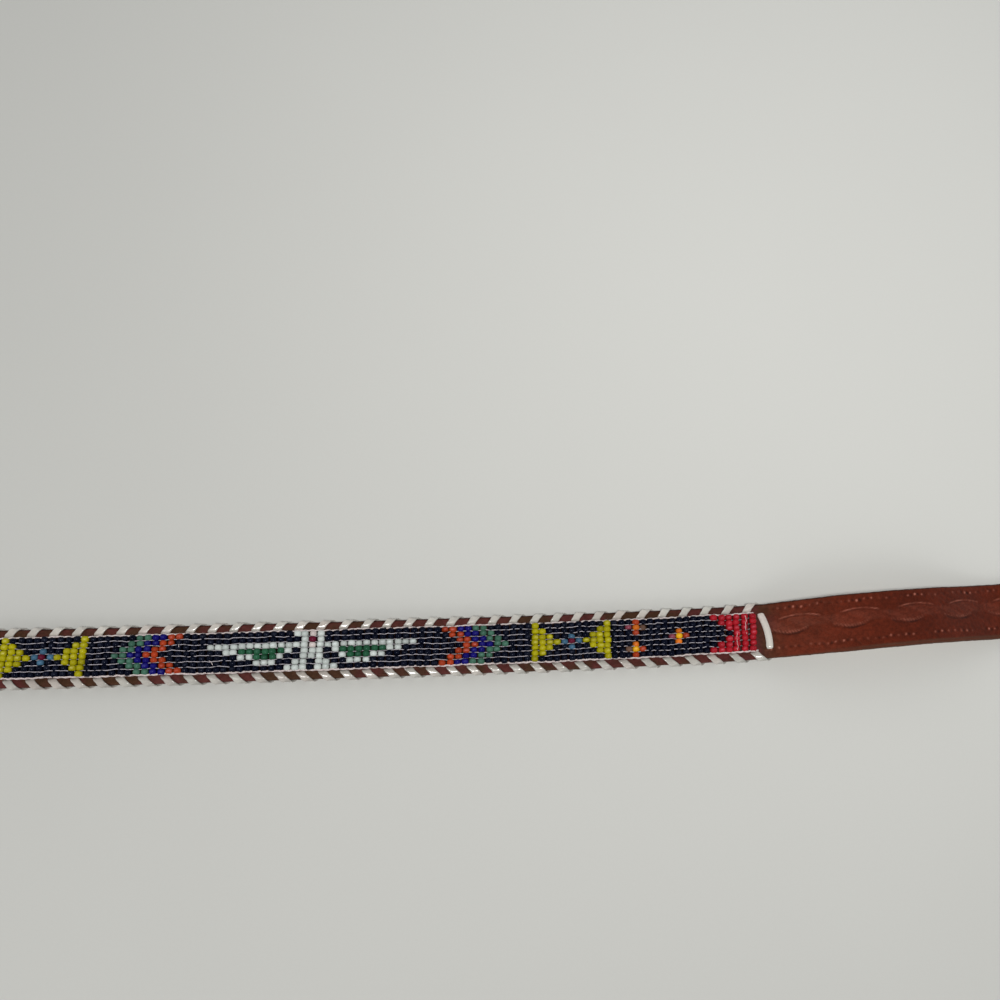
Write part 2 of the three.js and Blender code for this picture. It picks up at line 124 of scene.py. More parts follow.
# Buckle and keeper
BAR_SIZE = 3.4 * MM
BUCKLE_LENGTH = 28 * MM
BUCKLE_REACH = BUCKLE_LENGTH - BAR_SIZE / 2
BUCKLE_SIDE = 4 * MM
BUCKLE_SIDE_PLAY = 1.4 * MM
BUCKLE_BEND = 4.6 * MM
BUCKLE_BEVEL = 0.5 * MM
PRONG_DIAMETER = 3.2 * MM
PRONG_SLOT_PLAY = 0.7 * MM
PRONG_SLOT = 12 * MM
KEEPER_FROM_BAR = 24 * MM
KEEPER_WIDTH = 9 * MM
KEEPER_THICKNESS = 1.5 * MM
KEEPER_ROOM = 4.8 * MM
KEEPER_SIDE_ROOM = 0.6 * MM
KEEPER_BEND = 1.7 * MM
KEEPER_LEVEL_SHARE = 0.62
STITCH_ROWS = (31 * MM, 40 * MM)
STITCHES_PER_ROW = 7
STITCH_SPACING = 3.1 * MM
STITCH_DIAMETER = 0.72 * MM

# Camera and lights: place in metres, turn in degrees
CAMERA_LENS = 37.79
CAMERA_PLACE = (63.74 * MM, -54.54 * MM, 453.35 * MM)
CAMERA_TURN = (14.094, -4.693, -2.848)
LIGHTS = (
    {"name": "key", "place": (0.35, -1.05, 0.78), "size": 0.5, "power": 0.9,
     "colour": (1.0, 0.965, 0.92)},
    {"name": "overhead", "place": (-0.03, -0.2, 1.3), "size": 0.2, "power": 8.5,
     "colour": (1.0, 0.985, 0.965)},
)
LIGHT_TARGET = (0.1, 0, 0)

# Brightness of the surroundings by height: 0 is level with the table, 1 straight overhead
SKY_LEVELS = ((0.0, 0.9), (0.35, 1.3), (0.62, 0.9), (0.84, 0.2), (0.95, 0.06), (1.0, 0.05))
SKY_STRENGTH = 0.74


def srgb(red, green, blue):
    """A colour read off a screen, 0 to 255, as the linear colour that Blender works in."""
    def linear(level):
        share = level / 255
        return share / 12.92 if share <= 0.04045 else ((share + 0.055) / 1.055) ** 2.4
    return (linear(red), linear(green), linear(blue))


def tinted(colour, *shares):
    """A colour with red, green and blue each multiplied by its own share."""
    return tuple(level * share for level, share in zip(colour, shares))


def length_prop(name, description, default):
    return FloatProperty(name=name, description=description, default=default, unit="LENGTH", precision=5)


def colour_prop(name, description, default):
    return FloatVectorProperty(name=name, description=description, default=default, subtype="COLOR",
                               min=0.0, max=1.0)


class BeltSizes(PropertyGroup):
    """Sizes of the belt that a user may change."""
    strap_width: length_prop("Strap Width", "Width of the bare strap", 24.6 * MM)
    strap_thickness: length_prop("Strap Thickness", "Thickness of the leather", 3.0 * MM)
    laced_pinch: length_prop("Laced Pinch", "How far the lacing pulls each edge in", 0.45 * MM)
    bead_diameter: length_prop("Bead Diameter", "Outer diameter of a bead", 3.12 * MM)
    bead_length: length_prop("Bead Length", "Length of a bead along its hole", 2.26 * MM)
    bead_hole: length_prop("Bead Hole", "Diameter of a bead's hole", 0.9 * MM)
    pitch_along: length_prop("Pitch Along", "Distance between columns of beads", 3.22 * MM)
    pitch_across: length_prop("Pitch Across", "Distance between rows of beads", 2.32 * MM)
    lace_width: length_prop("Lace Width", "Width of the flat lace", 3.0 * MM)
    lace_thickness: length_prop("Lace Thickness", "Thickness of the lace at its middle", 0.8 * MM)
    lace_pitch: length_prop("Lace Pitch", "Distance between turns of the lacing", 9.05 * MM)
    warp_diameter: length_prop("Warp Diameter", "Diameter of the threads between the rows", 0.3 * MM)
    selvage_diameter: length_prop("Selvage Diameter", "Diameter of the outermost threads", 0.4 * MM)
    tooling_depth: length_prop("Tooling Depth", "Depth of the stamped pattern", 0.44 * MM)
    seed: IntProperty(name="Seed", description="Seed of the hand-made unevenness", default=7, min=0)


class BeltColours(PropertyGroup):
    """Colours of the belt that a user may change."""
    leather: colour_prop("Leather", "Red-brown of the tooled leather", srgb(94, 34, 19))
    # Leather Recess also paints shade beneath the stamps and on the far edge; Leather Rubbed also paints
    # light on the raised tooling
    leather_dark: colour_prop("Leather Recess", "Dye left in the tooling", srgb(44, 14, 10))
    leather_rubbed_and_lit: colour_prop("Leather Rubbed", "High spots of the tooling", srgb(188, 116, 98))
    leather_laced: colour_prop("Leather Under Lacing", "Purple-brown beside the beads", srgb(80, 38, 37))
    leather_edge: colour_prop("Leather Edge", "Raw cut edge of the strap", srgb(84, 57, 45))
    leather_flesh: colour_prop("Leather Flesh", "Suede underside of the strap", srgb(138, 104, 78))
    lace: colour_prop("Lace", "White vinyl of the laces", srgb(206, 203, 194))
    thread: colour_prop("Thread", "Grey-lilac threads between the beads", srgb(182, 176, 184))
    selvage: colour_prop("Selvage", "Pale threads along both edges", srgb(222, 208, 206))
    stitch: colour_prop("Stitch", "Tan thread that holds the flap", srgb(176, 140, 104))
    brass: colour_prop("Brass", "Satin brass of the buckle", (0.62, 0.46, 0.22))
    floor: colour_prop("Floor", "Pale table top", srgb(222, 222, 217))


# Glass colours of the beads
BEAD_COLOURS = {
    "navy": srgb(4, 6, 22),
    "yellow": srgb(160, 152, 10),
    "white": srgb(186, 192, 188),
    "green": srgb(38, 84, 58),
    "sea_green": srgb(64, 102, 84),
    "cobalt": srgb(18, 11, 98),
    "orange_red": srgb(156, 56, 25),
    "light_blue": srgb(60, 94, 118),
    "red": srgb(162, 26, 36),
    "blush": srgb(198, 186, 182),
    "crimson": srgb(92, 18, 40),
    "mauve": srgb(132, 62, 76),
    "orange": srgb(214, 112, 30),
    "amber": srgb(220, 164, 18),
    "brown": srgb(104, 78, 64),
}

# Size of the beads of some colours, against 1 for the rest
PLUMP_BEADS = {"red": 1.09, "navy": 1.03, "yellow": 1.05, "white": 1.04, "green": 1.04}

# How far the threads sink beside a bead of some colours, against 1 for the rest
THREAD_SINKING = {"red": 3.4, "yellow": 1.7, "white": 1.2, "navy": 0.0}

# Yellow triangles: column of the point, and the way it widens
TRIANGLES = ((2, 1), (66, -1), (70, 1))
TRIANGLE_COLUMNS = 4

# Flower between two triangles: columns of its middle, then column from there, row and colour
BLUE_FLOWER_COLUMNS = (0, 68)
BLUE_FLOWER = ((0, 3, "light_blue"), (0, 4, "crimson"), (0, 5, "light_blue"), (1, 4, "light_blue"))

# Bird motif: row, first and last column from the body's centre column, colour
BIRD = (
    (1, -2, 1, "white"), (1, 0, 0, "blush"),
    (2, -1, 1, "white"), (2, 0, 0, "crimson"),
    (3, -13, 13, "white"), (3, 0, 0, "blush"),
    (4, -11, 11, "white"), (4, -9, -4, "green"), (4, 4, 9, "green"),
    (4, -2, -2, "navy"), (4, 2, 2, "navy"),
    (5, -9, 9, "white"), (5, -7, -5, "green"), (5, 5, 7, "green"),
    (5, -3, -2, "navy"), (5, 2, 3, "navy"),
    (6, -7, 7, "white"), (6, -4, -3, "navy"), (6, 0, 0, "navy"), (6, 3, 4, "navy"),
    (7, -3, 3, "white"), (7, 0, 0, "navy"),
)
BIRD_COLUMN = 34

# Chevrons on both sides of the bird: first column of the pair at the middle row, colour
CHEVRONS = ((9, "sea_green"), (11, "cobalt"), (13, "orange_red"))

# Columns that are red all the way across at the panel's end
RED_COLUMNS = 3

# Small flowers: column, row, colour
FLOWERS = (
    (77, 2, "orange"), (77, 1, "orange_red"), (77, 3, "orange_red"), (76, 2, "mauve"), (78, 2, "brown"),
    (77, 6, "amber"), (77, 5, "orange"), (77, 7, "orange_red"), (76, 6, "brown"), (78, 6, "orange_red"),
    (83, 4, "amber"), (83, 3, "orange"), (83, 5, "orange"), (82, 4, "mauve"), (84, 4, "orange_red"),
)

# Uneven weaving: column, and how far in mm the weaver set it from its even place
COLUMN_DRIFT = ((0, -0.2), (34, -0.2), (60, 0.8), (68, 0.5), (73, -0.1), (77, -0.6), (84, -0.9),
                (88, -1.6), (91, -0.8), (93, 0.7))

# Loose thread ends: column, v in mm, heading in degrees and length in mm
STRAY_ENDS = ((21.4, -5.4, 100, 2.6), (27.3, -6.1, 75, 1.3), (17, 2.4, 60, 1.6), (-31, 3.4, 40, 2.6),
              (-70, -3.3, 100, 2.4), (46, -8.1, 250, 1.8))

# Threads that cross the rows near both ends of the panel: column, and v from and to in mm
CROSSING_THREADS = ((92.1, -1.0, 7.2), (90.7, -7.4, 0.5))

# How a turn of lace crosses the strap's edge: shares of the turn and of the pitch, for each side
LACE_TURN = (0.0, 0.12, 0.25, 0.39, 0.62, 0.88, 1.0)
LACE_CROSSING = {
    1: (0.0, 0.03, 0.17, 0.34, 0.52, 0.97, 1.0),
    -1: (0.0, 0.03, 0.2, 0.41, 0.58, 0.97, 1.0),
}

# Uneven lacing: place along the belt and how far a turn sits from its even place, both in mm
LACE_DRIFT = {
    1: ((-300, -1.0), (0, -1.7), (48, -2.1), (60, -0.8), (110, -1.1), (125, -0.4), (240, -0.6), (252, 1.4),
        (280, 2.2), (290, 3.3), (300, 4.4)),
    -1: ((-300, -0.6), (-200, -4.0), (0, -5.6), (45, -6.0), (100, -4.9), (150, -4.5), (185, -5.9),
         (215, -5.6), (240, -3.9), (262, -2.6), (280, -1.2), (300, 0.7)),
}


def bead_chart():
    """The colour of each bead, by column from the panel's middle and row from its far edge."""
    middle = (BEAD_ROWS + 1) // 2
    half = {}
    for point, direction in TRIANGLES:
        for step in range(TRIANGLE_COLUMNS):
            for row in range(middle - step, middle + step + 1):
                half[point + direction * step, row] = "yellow"
    for centre in BLUE_FLOWER_COLUMNS:
        for column, row, colour in BLUE_FLOWER:
            half[centre + column, row] = colour
            half[centre - column, row] = colour
    for row in range(1, BEAD_ROWS + 1):
        reach = abs(row - middle)
        for start, colour in CHEVRONS:
            for column in (start + reach, start + reach + 1):
                half[column, row] = colour
                half[2 * BIRD_COLUMN - column, row] = colour
        for column in range(LAST_COLUMN + 1 - RED_COLUMNS - reach, LAST_COLUMN + 1):
            half[column, row] = "red"
    for row, first, last, colour in BIRD:
        for column in range(first, last + 1):
            half[BIRD_COLUMN + column, row] = colour
    for column, row, colour in FLOWERS:
        half[column, row] = colour
    return {
        (side * column, row): half.get((column, row), "navy")
        for column in range(LAST_COLUMN + 1)
        for row in range(1, BEAD_ROWS + 1)
        for side in (-1, 1)
    }


def smooth(t):
    """0 below 0 and 1 above 1, eased between."""
    t = np.clip(t, 0.0, 1.0)
    return t * t * (3 - 2 * t)


def hill(distance, reach):
    """1 at a distance of 0, falling smoothly to 0 at reach."""
    return smooth(1 - np.abs(distance) / reach)


def ripple(x, wavelength, seed):
    """A smooth wander between about -1 and 1 that never quite repeats."""
    draw = random.Random(seed)
    total = 0.0
    for share, height in ((1.0, 0.5), (0.53, 0.3), (0.29, 0.2)):
        total = total + height * np.sin(2 * math.pi * (x / (wavelength * share) + draw.random()))
    return total


def glide(x, at, value):
    """A curve through (at, value) with no sharp bend, read at x."""
    at, value = np.asarray(at, float), np.asarray(value, float)
    slopes = np.gradient(value, at)
    k = np.clip(np.searchsorted(at, x, side="right") - 1, 0, len(at) - 2)
    span = at[k + 1] - at[k]
    t = (x - at[k]) / span
    rise = value[k + 1] - value[k]
    return (value[k] + rise * smooth(t)
            + span * t * (1 - t) * ((1 - t) * slopes[k] - t * slopes[k + 1]))


class BeltPath:
    """Where a point of the belt lies on the table."""

    def __init__(self, sizes):
        self.sizes = sizes
        self.panel_half = (2 * LAST_COLUMN + 1) * sizes.pitch_along / 2
        self.panel_half_width = BEAD_ROWS * sizes.pitch_across / 2
        self.tip = self.panel_half + TIP_STRAP
        self.bar = -self.panel_half - BUCKLE_STRAP
        self.lift = sizes.lace_thickness + CLEARANCE
        last_turn = ((NEAR_TURNS - 1) / 2 + LACE_END_SHARE) * sizes.lace_pitch
        self.laced_end = last_turn + LACE_END_HALF + CLEARANCE
        self.fold_radius = math.hypot(BAR_SIZE / 2, BAR_SIZE / 2 - BUCKLE_BEVEL) + CLEARANCE
        self.bar_height = sizes.strap_thickness + self.fold_radius
        flap_top = sizes.strap_thickness + CLEARANCE
        keeper = flap_top + KEEPER_THICKNESS + CLEARANCE
        level = KEEPER_WIDTH * KEEPER_LEVEL_SHARE
        self.end_from = np.array([0, KEEPER_FROM_BAR - level, KEEPER_FROM_BAR + level,
                                  FLAP * 0.94, FLAP * 1.02, FLAP + FLAP_RAMP])
        self.end_height = np.array([self.bar_height + self.fold_radius, keeper, keeper,
                                    flap_top, flap_top, self.lift])
        self.offset = np.zeros(3)
        self._walk()
        low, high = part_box("bead_panel")
        corners = self.place(*np.array([(s, v, sizes.strap_thickness)
                                        for s in np.linspace(-self.panel_half, self.panel_half, 401)
                                        for v in (-self.panel_half_width, self.panel_half_width)]).T)
        middle = (corners.min(0) + corners.max(0)) / 2
        self.offset[:2] = ((np.array(low) + np.array(high)) / 2 - middle)[:2]

    def _walk(self):
        """The strap's middle line seen from above, walked out both ways in 1 mm steps."""
        first = math.floor(self.bar / MM) - 2
        last = math.ceil(self.tip / MM) + 2
        self.steps = np.arange(first, last + 1) * MM
        middle = self.steps[:-1] + MM / 2
        run = np.sqrt(1 - self.slope(middle) ** 2) * MM
        heading = self.heading(middle)
        x = np.concatenate([[0], np.cumsum(np.cos(heading) * run)])
        y = np.concatenate([[0], np.cumsum(np.sin(heading) * run)])
        self.x = x - np.interp(0, self.steps, x)
        self.y = y - np.interp(0, self.steps, y)

    def heading(self, s):
        return np.radians(np.interp(s / self.panel_half, HEADING_SHARES, HEADING_DEGREES))

    def lean(self, s):
        u = np.clip((s - LEAN_START) / LEAN_LENGTH, 0, 1)
        return LEAN_ANGLE * np.sin(math.pi * u) ** 2

    def height(self, s):
        """Height of the strap's underside above the table."""
        u = np.clip((s - ARCH_START) / ARCH_LENGTH, 0, 1)
        rise = np.sin(math.pi * u) ** 2
        arch = ARCH_HEIGHT * rise * (1 + ARCH_FULLNESS * (1 - rise))
        settled = smooth((s - self.laced_end) / (ARCH_LENGTH / 2))
        lying = arch + self.lift * (1 - settled)
        lying = lying + self.sizes.strap_width / 2 * np.sin(self.lean(s))
        at = s - self.bar
        k = np.clip(np.searchsorted(self.end_from, at, side="right") - 1, 0, len(self.end_from) - 2)
        share = smooth((at - self.end_from[k]) / (self.end_from[k + 1] - self.end_from[k]))
        near_bar = self.end_height[k] + (self.end_height[k + 1] - self.end_height[k]) * share
        return np.where(s < -self.panel_half, near_bar, lying)

    def slope(self, s):
        return (self.height(s + MM / 2) - self.height(s - MM / 2)) / MM

    def frame(self, s):
        """Origins on the underside and the directions of v and n."""
        on_strap = np.maximum(s, self.bar)
        heading = self.heading(on_strap)
        slope = self.slope(on_strap)
        run = np.sqrt(1 - slope ** 2)
        forward = np.stack([np.cos(heading) * run, np.sin(heading) * run, slope], -1)
        side = np.stack([-np.sin(heading), np.cos(heading), 0 * heading], -1)
        up = np.cross(forward, side)
        lean = self.lean(on_strap)[..., None]
        v = side * np.cos(lean) - up * np.sin(lean)
        n = up * np.cos(lean) + side * np.sin(lean)
        origin = np.stack([np.interp(on_strap, self.steps, self.x),
                           np.interp(on_strap, self.steps, self.y), self.height(on_strap)], -1)
        self._fold_back(s, origin, n)
        return origin + self.offset, v, n

    def _fold_back(self, s, origin, n):
        """Past the bar the strap turns round it and runs back underneath as a flap."""
        past = s < self.bar
        if not past.any():
            return
        length = self.bar - s[past]
        arc = math.pi * self.fold_radius
        angle = np.minimum(length, arc) / self.fold_radius
        back = np.maximum(length - arc, 0)
        heading = self.heading(self.bar)
        ahead = np.array([math.cos(heading), math.sin(heading), 0])
        up = np.array([0, 0, 1.0])
        normal = up * np.cos(angle)[:, None] - ahead * np.sin(angle)[:, None]
        bar = np.array([np.interp(self.bar, self.steps, self.x),
                        np.interp(self.bar, self.steps, self.y), self.bar_height])
        origin[past] = bar + normal * self.fold_radius + ahead * back[:, None]
        n[past] = normal

    def place(self, s, v, n):
        """Points of the table's space for points of belt space."""
        s, v, n = np.broadcast_arrays(np.asarray(s, float), np.asarray(v, float), np.asarray(n, float))
        origin, across, up = self.frame(s)
        return origin + across * v[..., None] + up * n[..., None]

    def half_width(self, s):
        """Half the strap's width: pulled in by the lacing, drawn to a point at the tip."""
        sizes = self.sizes
        out = smooth((np.abs(s) - self.laced_end + PINCH_MARGIN) / PINCH_FADE)
        half = sizes.strap_width / 2 - sizes.laced_pinch * (1 - out)
        along = np.clip(1 + (s - self.tip) / TIP_POINT, 0, 1)
        return half * np.sqrt(np.maximum(1 - along ** TIP_SQUARENESS, 0.02))


# Meshes

def point_array(mesh):
    points = np.empty(len(mesh.vertices) * 3)
    mesh.vertices.foreach_get("co", points)
    return points.reshape(-1, 3)


def set_attribute(mesh, name, values):
    layer = mesh.attributes.new(name, "FLOAT", "POINT")
    layer.data.foreach_set("value", np.asarray(values, np.float32))


def finished(bm, mesh):
    """The mesh, filled from the bmesh and shaded smooth."""
    bm.to_mesh(mesh)
    bm.free()
    mesh.shade_smooth()
    return mesh


def skin(name, steps, around, place, values=None, uv=None, ring=False):
    """A closed skin: a grid of steps by around faces, wrapped round and closed at its ends.

    place takes the whole-number places of the vertices along and around, and gives points.
    values gives point attributes in the same way, and uv the two coordinates of the UV map.
    """
    bm = bmesh.new()
    bm.loops.layers.uv.new("UVMap")
    bmesh.ops.create_grid(bm, x_segments=steps, y_segments=around, size=1.0, calc_uvs=True)
    mesh = bpy.data.meshes.new(name)
    bm.to_mesh(mesh)
    bm.free()
    drawn = point_array(mesh)
    i = np.rint((drawn[:, 0] + 1) / 2 * steps).astype(int)
    j = np.rint((drawn[:, 1] + 1) / 2 * around).astype(int)
    points = place(i % steps if ring else i, j % around)
    mesh.vertices.foreach_set("co", points.ravel())
    for key, value in (values(i, j % around) if values else {}).items():
        set_attribute(mesh, key, value)
    corners = np.empty(len(mesh.loops) * 2)
    layer = mesh.uv_layers["UVMap"].data
    layer.foreach_get("uv", corners)
    corners = corners.reshape(-1, 2)
    along, across = np.rint(corners[:, 0] * steps), np.rint(corners[:, 1] * around)
    if uv:
        corners = np.stack(uv(along.astype(int), across.astype(int)), -1)
    layer.foreach_set("uv", corners.ravel())
    bm = bmesh.new()
    bm.from_mesh(mesh)
    bmesh.ops.remove_doubles(bm, verts=bm.verts, dist=1e-7)
    open_edges = [edge for edge in bm.edges if edge.is_boundary]
    if open_edges:
        bmesh.ops.holes_fill(bm, edges=open_edges, sides=0)
    bmesh.ops.recalc_face_normals(bm, faces=bm.faces)
    return finished(bm, mesh)


def joined(name, meshes):
    """One mesh of several, in order."""
    bm = bmesh.new()
    for mesh in meshes:
        bm.from_mesh(mesh)
        bpy.data.meshes.remove(mesh)
    return finished(bm, bpy.data.meshes.new(name))


def add_piece(mesh, material, slot, *nodes):
    """Puts a finished mesh into the scene, riding on the belt."""
    piece = bpy.data.objects.new(mesh.name, mesh)
    bpy.context.scene.collection.objects.link(piece)
    mesh.materials.clear()
    mesh.materials.append(material)
    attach(piece, "root")
    if nodes:
        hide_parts(*nodes)
    return piece


def unit(vectors):
    return vectors / np.maximum(np.linalg.norm(vectors, axis=-1, keepdims=True), 1e-12)


def oval(points, square=2.0):
    """Points round a unit oval, from a circle at square 2 towards a rounded box."""
    angle = 2 * math.pi * np.arange(points) / points
    cos, sin = np.cos(angle), np.sin(angle)
    power = 2 / square
    return np.stack([rounded(cos, power), rounded(sin, power)], -1)


def rounded(share, power):
    """A sine or cosine raised to a power, with its sign kept."""
    return np.sign(share) * np.abs(share) ** power


def sweep(name, line, outward, section, values=None, ring=False):
    """A skin round a line of points. outward is the direction of the section's second axis.

    section is one outline for all the points, or an outline for each. The UV map has the length
    along the line and the share of the way round.
    """
    line = np.asarray(line, float)
    ahead = np.roll(line, -1, 0) - np.roll(line, 1, 0) if ring else np.gradient(line, axis=0)
    ahead = unit(ahead)
    outward = unit(outward - ahead * (outward * ahead).sum(-1, keepdims=True))
    side = np.cross(ahead, outward)
    section = np.broadcast_to(section, (len(line),) + np.shape(section)[-2:])
    around = section.shape[1]
    length = np.concatenate([[0], np.cumsum(np.linalg.norm(np.diff(line, axis=0), axis=-1))])
    length = np.append(length, length[-1] + np.linalg.norm(line[0] - line[-1]))
    steps = len(line) if ring else len(line) - 1

    def place(i, j):
        at = section[i, j]
        return line[i] + side[i] * at[:, :1] + outward[i] * at[:, 1:]

    def uv(i, j):
        return length[i], j / around

    return skin(name, steps, around, place, values, uv, ring)


def in_belt_space(path, line, outward):
    """A line and its outward directions, given as (s, v, n), as points and directions on the table."""
    line, outward = np.asarray(line, float), np.asarray(outward, float)
    placed = path.place(*line.T)
    tips = path.place(*(line + unit(outward) * MM).T)
    return placed, unit(tips - placed)


# Materials

class Value:
    """A socket of a material, used in sums and products as a number is."""

    def __init__(self, finish, socket):
        self.finish = finish
        self.socket = socket

    def math(self, operation, *others):
        return self.finish.node("ShaderNodeMath", {"operation": operation}, *others)

    def __add__(self, other):
        return self.math("ADD", self, other)

    def __sub__(self, other):
        return self.math("SUBTRACT", self, other)

    def __rsub__(self, other):
        return self.math("SUBTRACT", other, self)

    def __mul__(self, other):
        return self.math("MULTIPLY", self, other)

    def __pow__(self, other):
        return self.math("POWER", self, other)

    __radd__ = __add__
    __rmul__ = __mul__

    def step(self, low, high):
        """0 below low and 1 above high, eased between."""
        return self.finish.node("ShaderNodeMapRange", {"interpolation_type": "SMOOTHSTEP"},
                                self, low, high, 0.0, 1.0)


class Finish:
    """A material under construction."""

    def __init__(self, name):
        self.material = bpy.data.materials.new(name)
        self.material.use_nodes = True
        self.tree = self.material.node_tree
        self.tree.nodes.clear()

    def node(self, kind, settings=None, *values, output=0, named=None):
        """Adds a node: its settings first, then the values or links of its sockets."""
        made = self.tree.nodes.new(kind)
        for key, value in (settings or {}).items():
            if key == "stops":
                ramp = made.color_ramp
                while len(ramp.elements) > 1:
                    ramp.elements.remove(ramp.elements[-1])
                for position, colour in value[1:]:
                    ramp.elements.new(position).color = (*colour, 1)
                ramp.elements[0].position = value[0][0]
                ramp.elements[0].color = (*value[0][1], 1)
            else:
                setattr(made, key, value)
        given = list(zip([socket for socket in made.inputs if socket.enabled], values))
        given += [(made.inputs[key], value) for key, value in (named or {}).items()]
        for socket, value in given:
            if isinstance(value, Value):
                self.tree.links.new(value.socket, socket)
            elif value is not None:
                wants = getattr(socket, "default_value", None)
                if hasattr(wants, "__len__") and len(wants) == 4 and len(value) == 3:
                    value = (*value, 1)
                socket.default_value = value
        return Value(self, [socket for socket in made.outputs if socket.enabled][output])

    def place(self):
        """Object coordinates."""
        return self.node("ShaderNodeTexCoord", output=3)

    def scaled(self, vector, scale, turn=(0, 0, 0)):
        return self.node("ShaderNodeMapping", None, vector, (0, 0, 0), turn, scale)

    def uv(self, scale_along, scale_across):
        uv = self.node("ShaderNodeUVMap", {"uv_map": "UVMap"})
        return self.scaled(uv, (scale_along, scale_across, 1))

    def attribute(self, name):
        return self.node("ShaderNodeAttribute", {"attribute_name": name}, output=2)

    def noise(self, place, scale, detail=2.0, roughness=0.5):
        return self.node("ShaderNodeTexNoise", None, place, scale, detail, roughness)

    def cells(self, place, scale):
        return self.node("ShaderNodeTexVoronoi", {"feature": "F1"}, place, scale)

    def blend(self, share, first, second):
        return self.node("ShaderNodeMix", {"data_type": "RGBA"}, share, first, second)

    def brighten(self, colour, amount):
        """A colour multiplied by a number that changes over the surface."""
        grey = self.node("ShaderNodeCombineColor", None, amount, amount, amount)
        multiply = {"data_type": "RGBA", "blend_type": "MULTIPLY"}
        return self.node("ShaderNodeMix", multiply, 1.0, colour, grey)

    def bump(self, height, strength, distance):
        return self.node("ShaderNodeBump", None, strength, distance, None, height)

    def surface(self, colour, roughness, normal, constants):
        """Ends the material with its shader. constants sets the shader's other sockets by name."""
        named = {"Base Color": colour, "Roughness": roughness, "Normal": normal, **constants}
        shader = self.node("ShaderNodeBsdfPrincipled", named=named)
        output = self.tree.nodes.new("ShaderNodeOutputMaterial")
        self.tree.links.new(shader.socket, output.inputs["Surface"])
        return self.material


def glass_finish(name, colour):
    """Opaque glass beads, each a little lighter or darker than the next, with a painted highlight on top of
    each.
    """
    f = Finish(name)
    tone = f.attribute("tone")
    place = f.place()
    cloud = f.noise(place, 900.0, 2.0)
    crown = f.attribute("crown")

    # Painted highlight: the top of each bead is painted paler and bluer, light colours more so than dark
    # ones
    lift = 0.03 + 0.3 * min(max(colour), 0.3)
    glint_colour = tuple(1.5 * level + lift * share for level, share in zip(colour, (0.9, 1.0, 1.35)))
    shade = f.brighten(colour, 0.6 + tone * 0.5 + cloud * 0.28)
    shade = f.blend(crown ** 2.0 * 0.8, shade, glint_colour)
    roughness = 0.12 + f.noise(place, 1500.0, 2.0) * 0.1
    pits = f.noise(place, 2600.0, 3.0)
    return f.surface(shade, roughness, f.bump(pits, 0.12, 0.02 * MM),
                     {"Specular IOR Level": 0.08, "Specular Tint": (0.7, 0.8, 1.0)})


def thread_finish(name, colour):
    """Twisted cotton thread."""
    f = Finish(name)
    place = f.place()
    uv = f.uv(1 / (0.9 * MM), 3.0)
    twist = f.node("ShaderNodeTexWave", {"bands_direction": "DIAGONAL"}, uv, 1.0, 1.5)
    soil = f.noise(place, 260.0, 3.0)
    shade = f.brighten(colour, 0.7 + soil * 0.45 + twist * 0.12)
    return f.surface(shade, 0.62 + soil * 0.15, f.bump(twist, 0.5, 0.06 * MM), {"Sheen Weight": 0.25})


def lace_finish(colour):
    """Glossy vinyl lace, a little creased, with a pinker cast here and there."""
    f = Finish("white_vinyl_lace")
    place = f.place()
    uv = f.uv(1 / MM, 3.4)
    cast = f.noise(place, 55.0, 2.0)
    warm = f.blend(cast.step(0.35, 0.7), colour, tinted(colour, 1.0, 0.93, 0.93))
    tone = f.attribute("tone")
    creases = f.noise(uv, 0.5, 4.0, 0.6)
    rim = f.attribute("rim")
    # Painted shade: the colour darkens where the lace turns over the strap's rim and where it dives into a
    # slit, and the near lace's lower tone is painted shade too
    shade = f.brighten(warm, 0.5 + tone * 0.36 + creases * 0.24 - rim * 0.2)
    height = creases + f.noise(place, 900.0, 3.0) * 0.25
    roughness = 0.2 + f.noise(place, 420.0, 3.0) * 0.16
    return f.surface(shade, roughness, f.bump(height, 0.25, 0.1 * MM),
                     {"Coat Weight": 0.6, "Coat Roughness": 0.12})


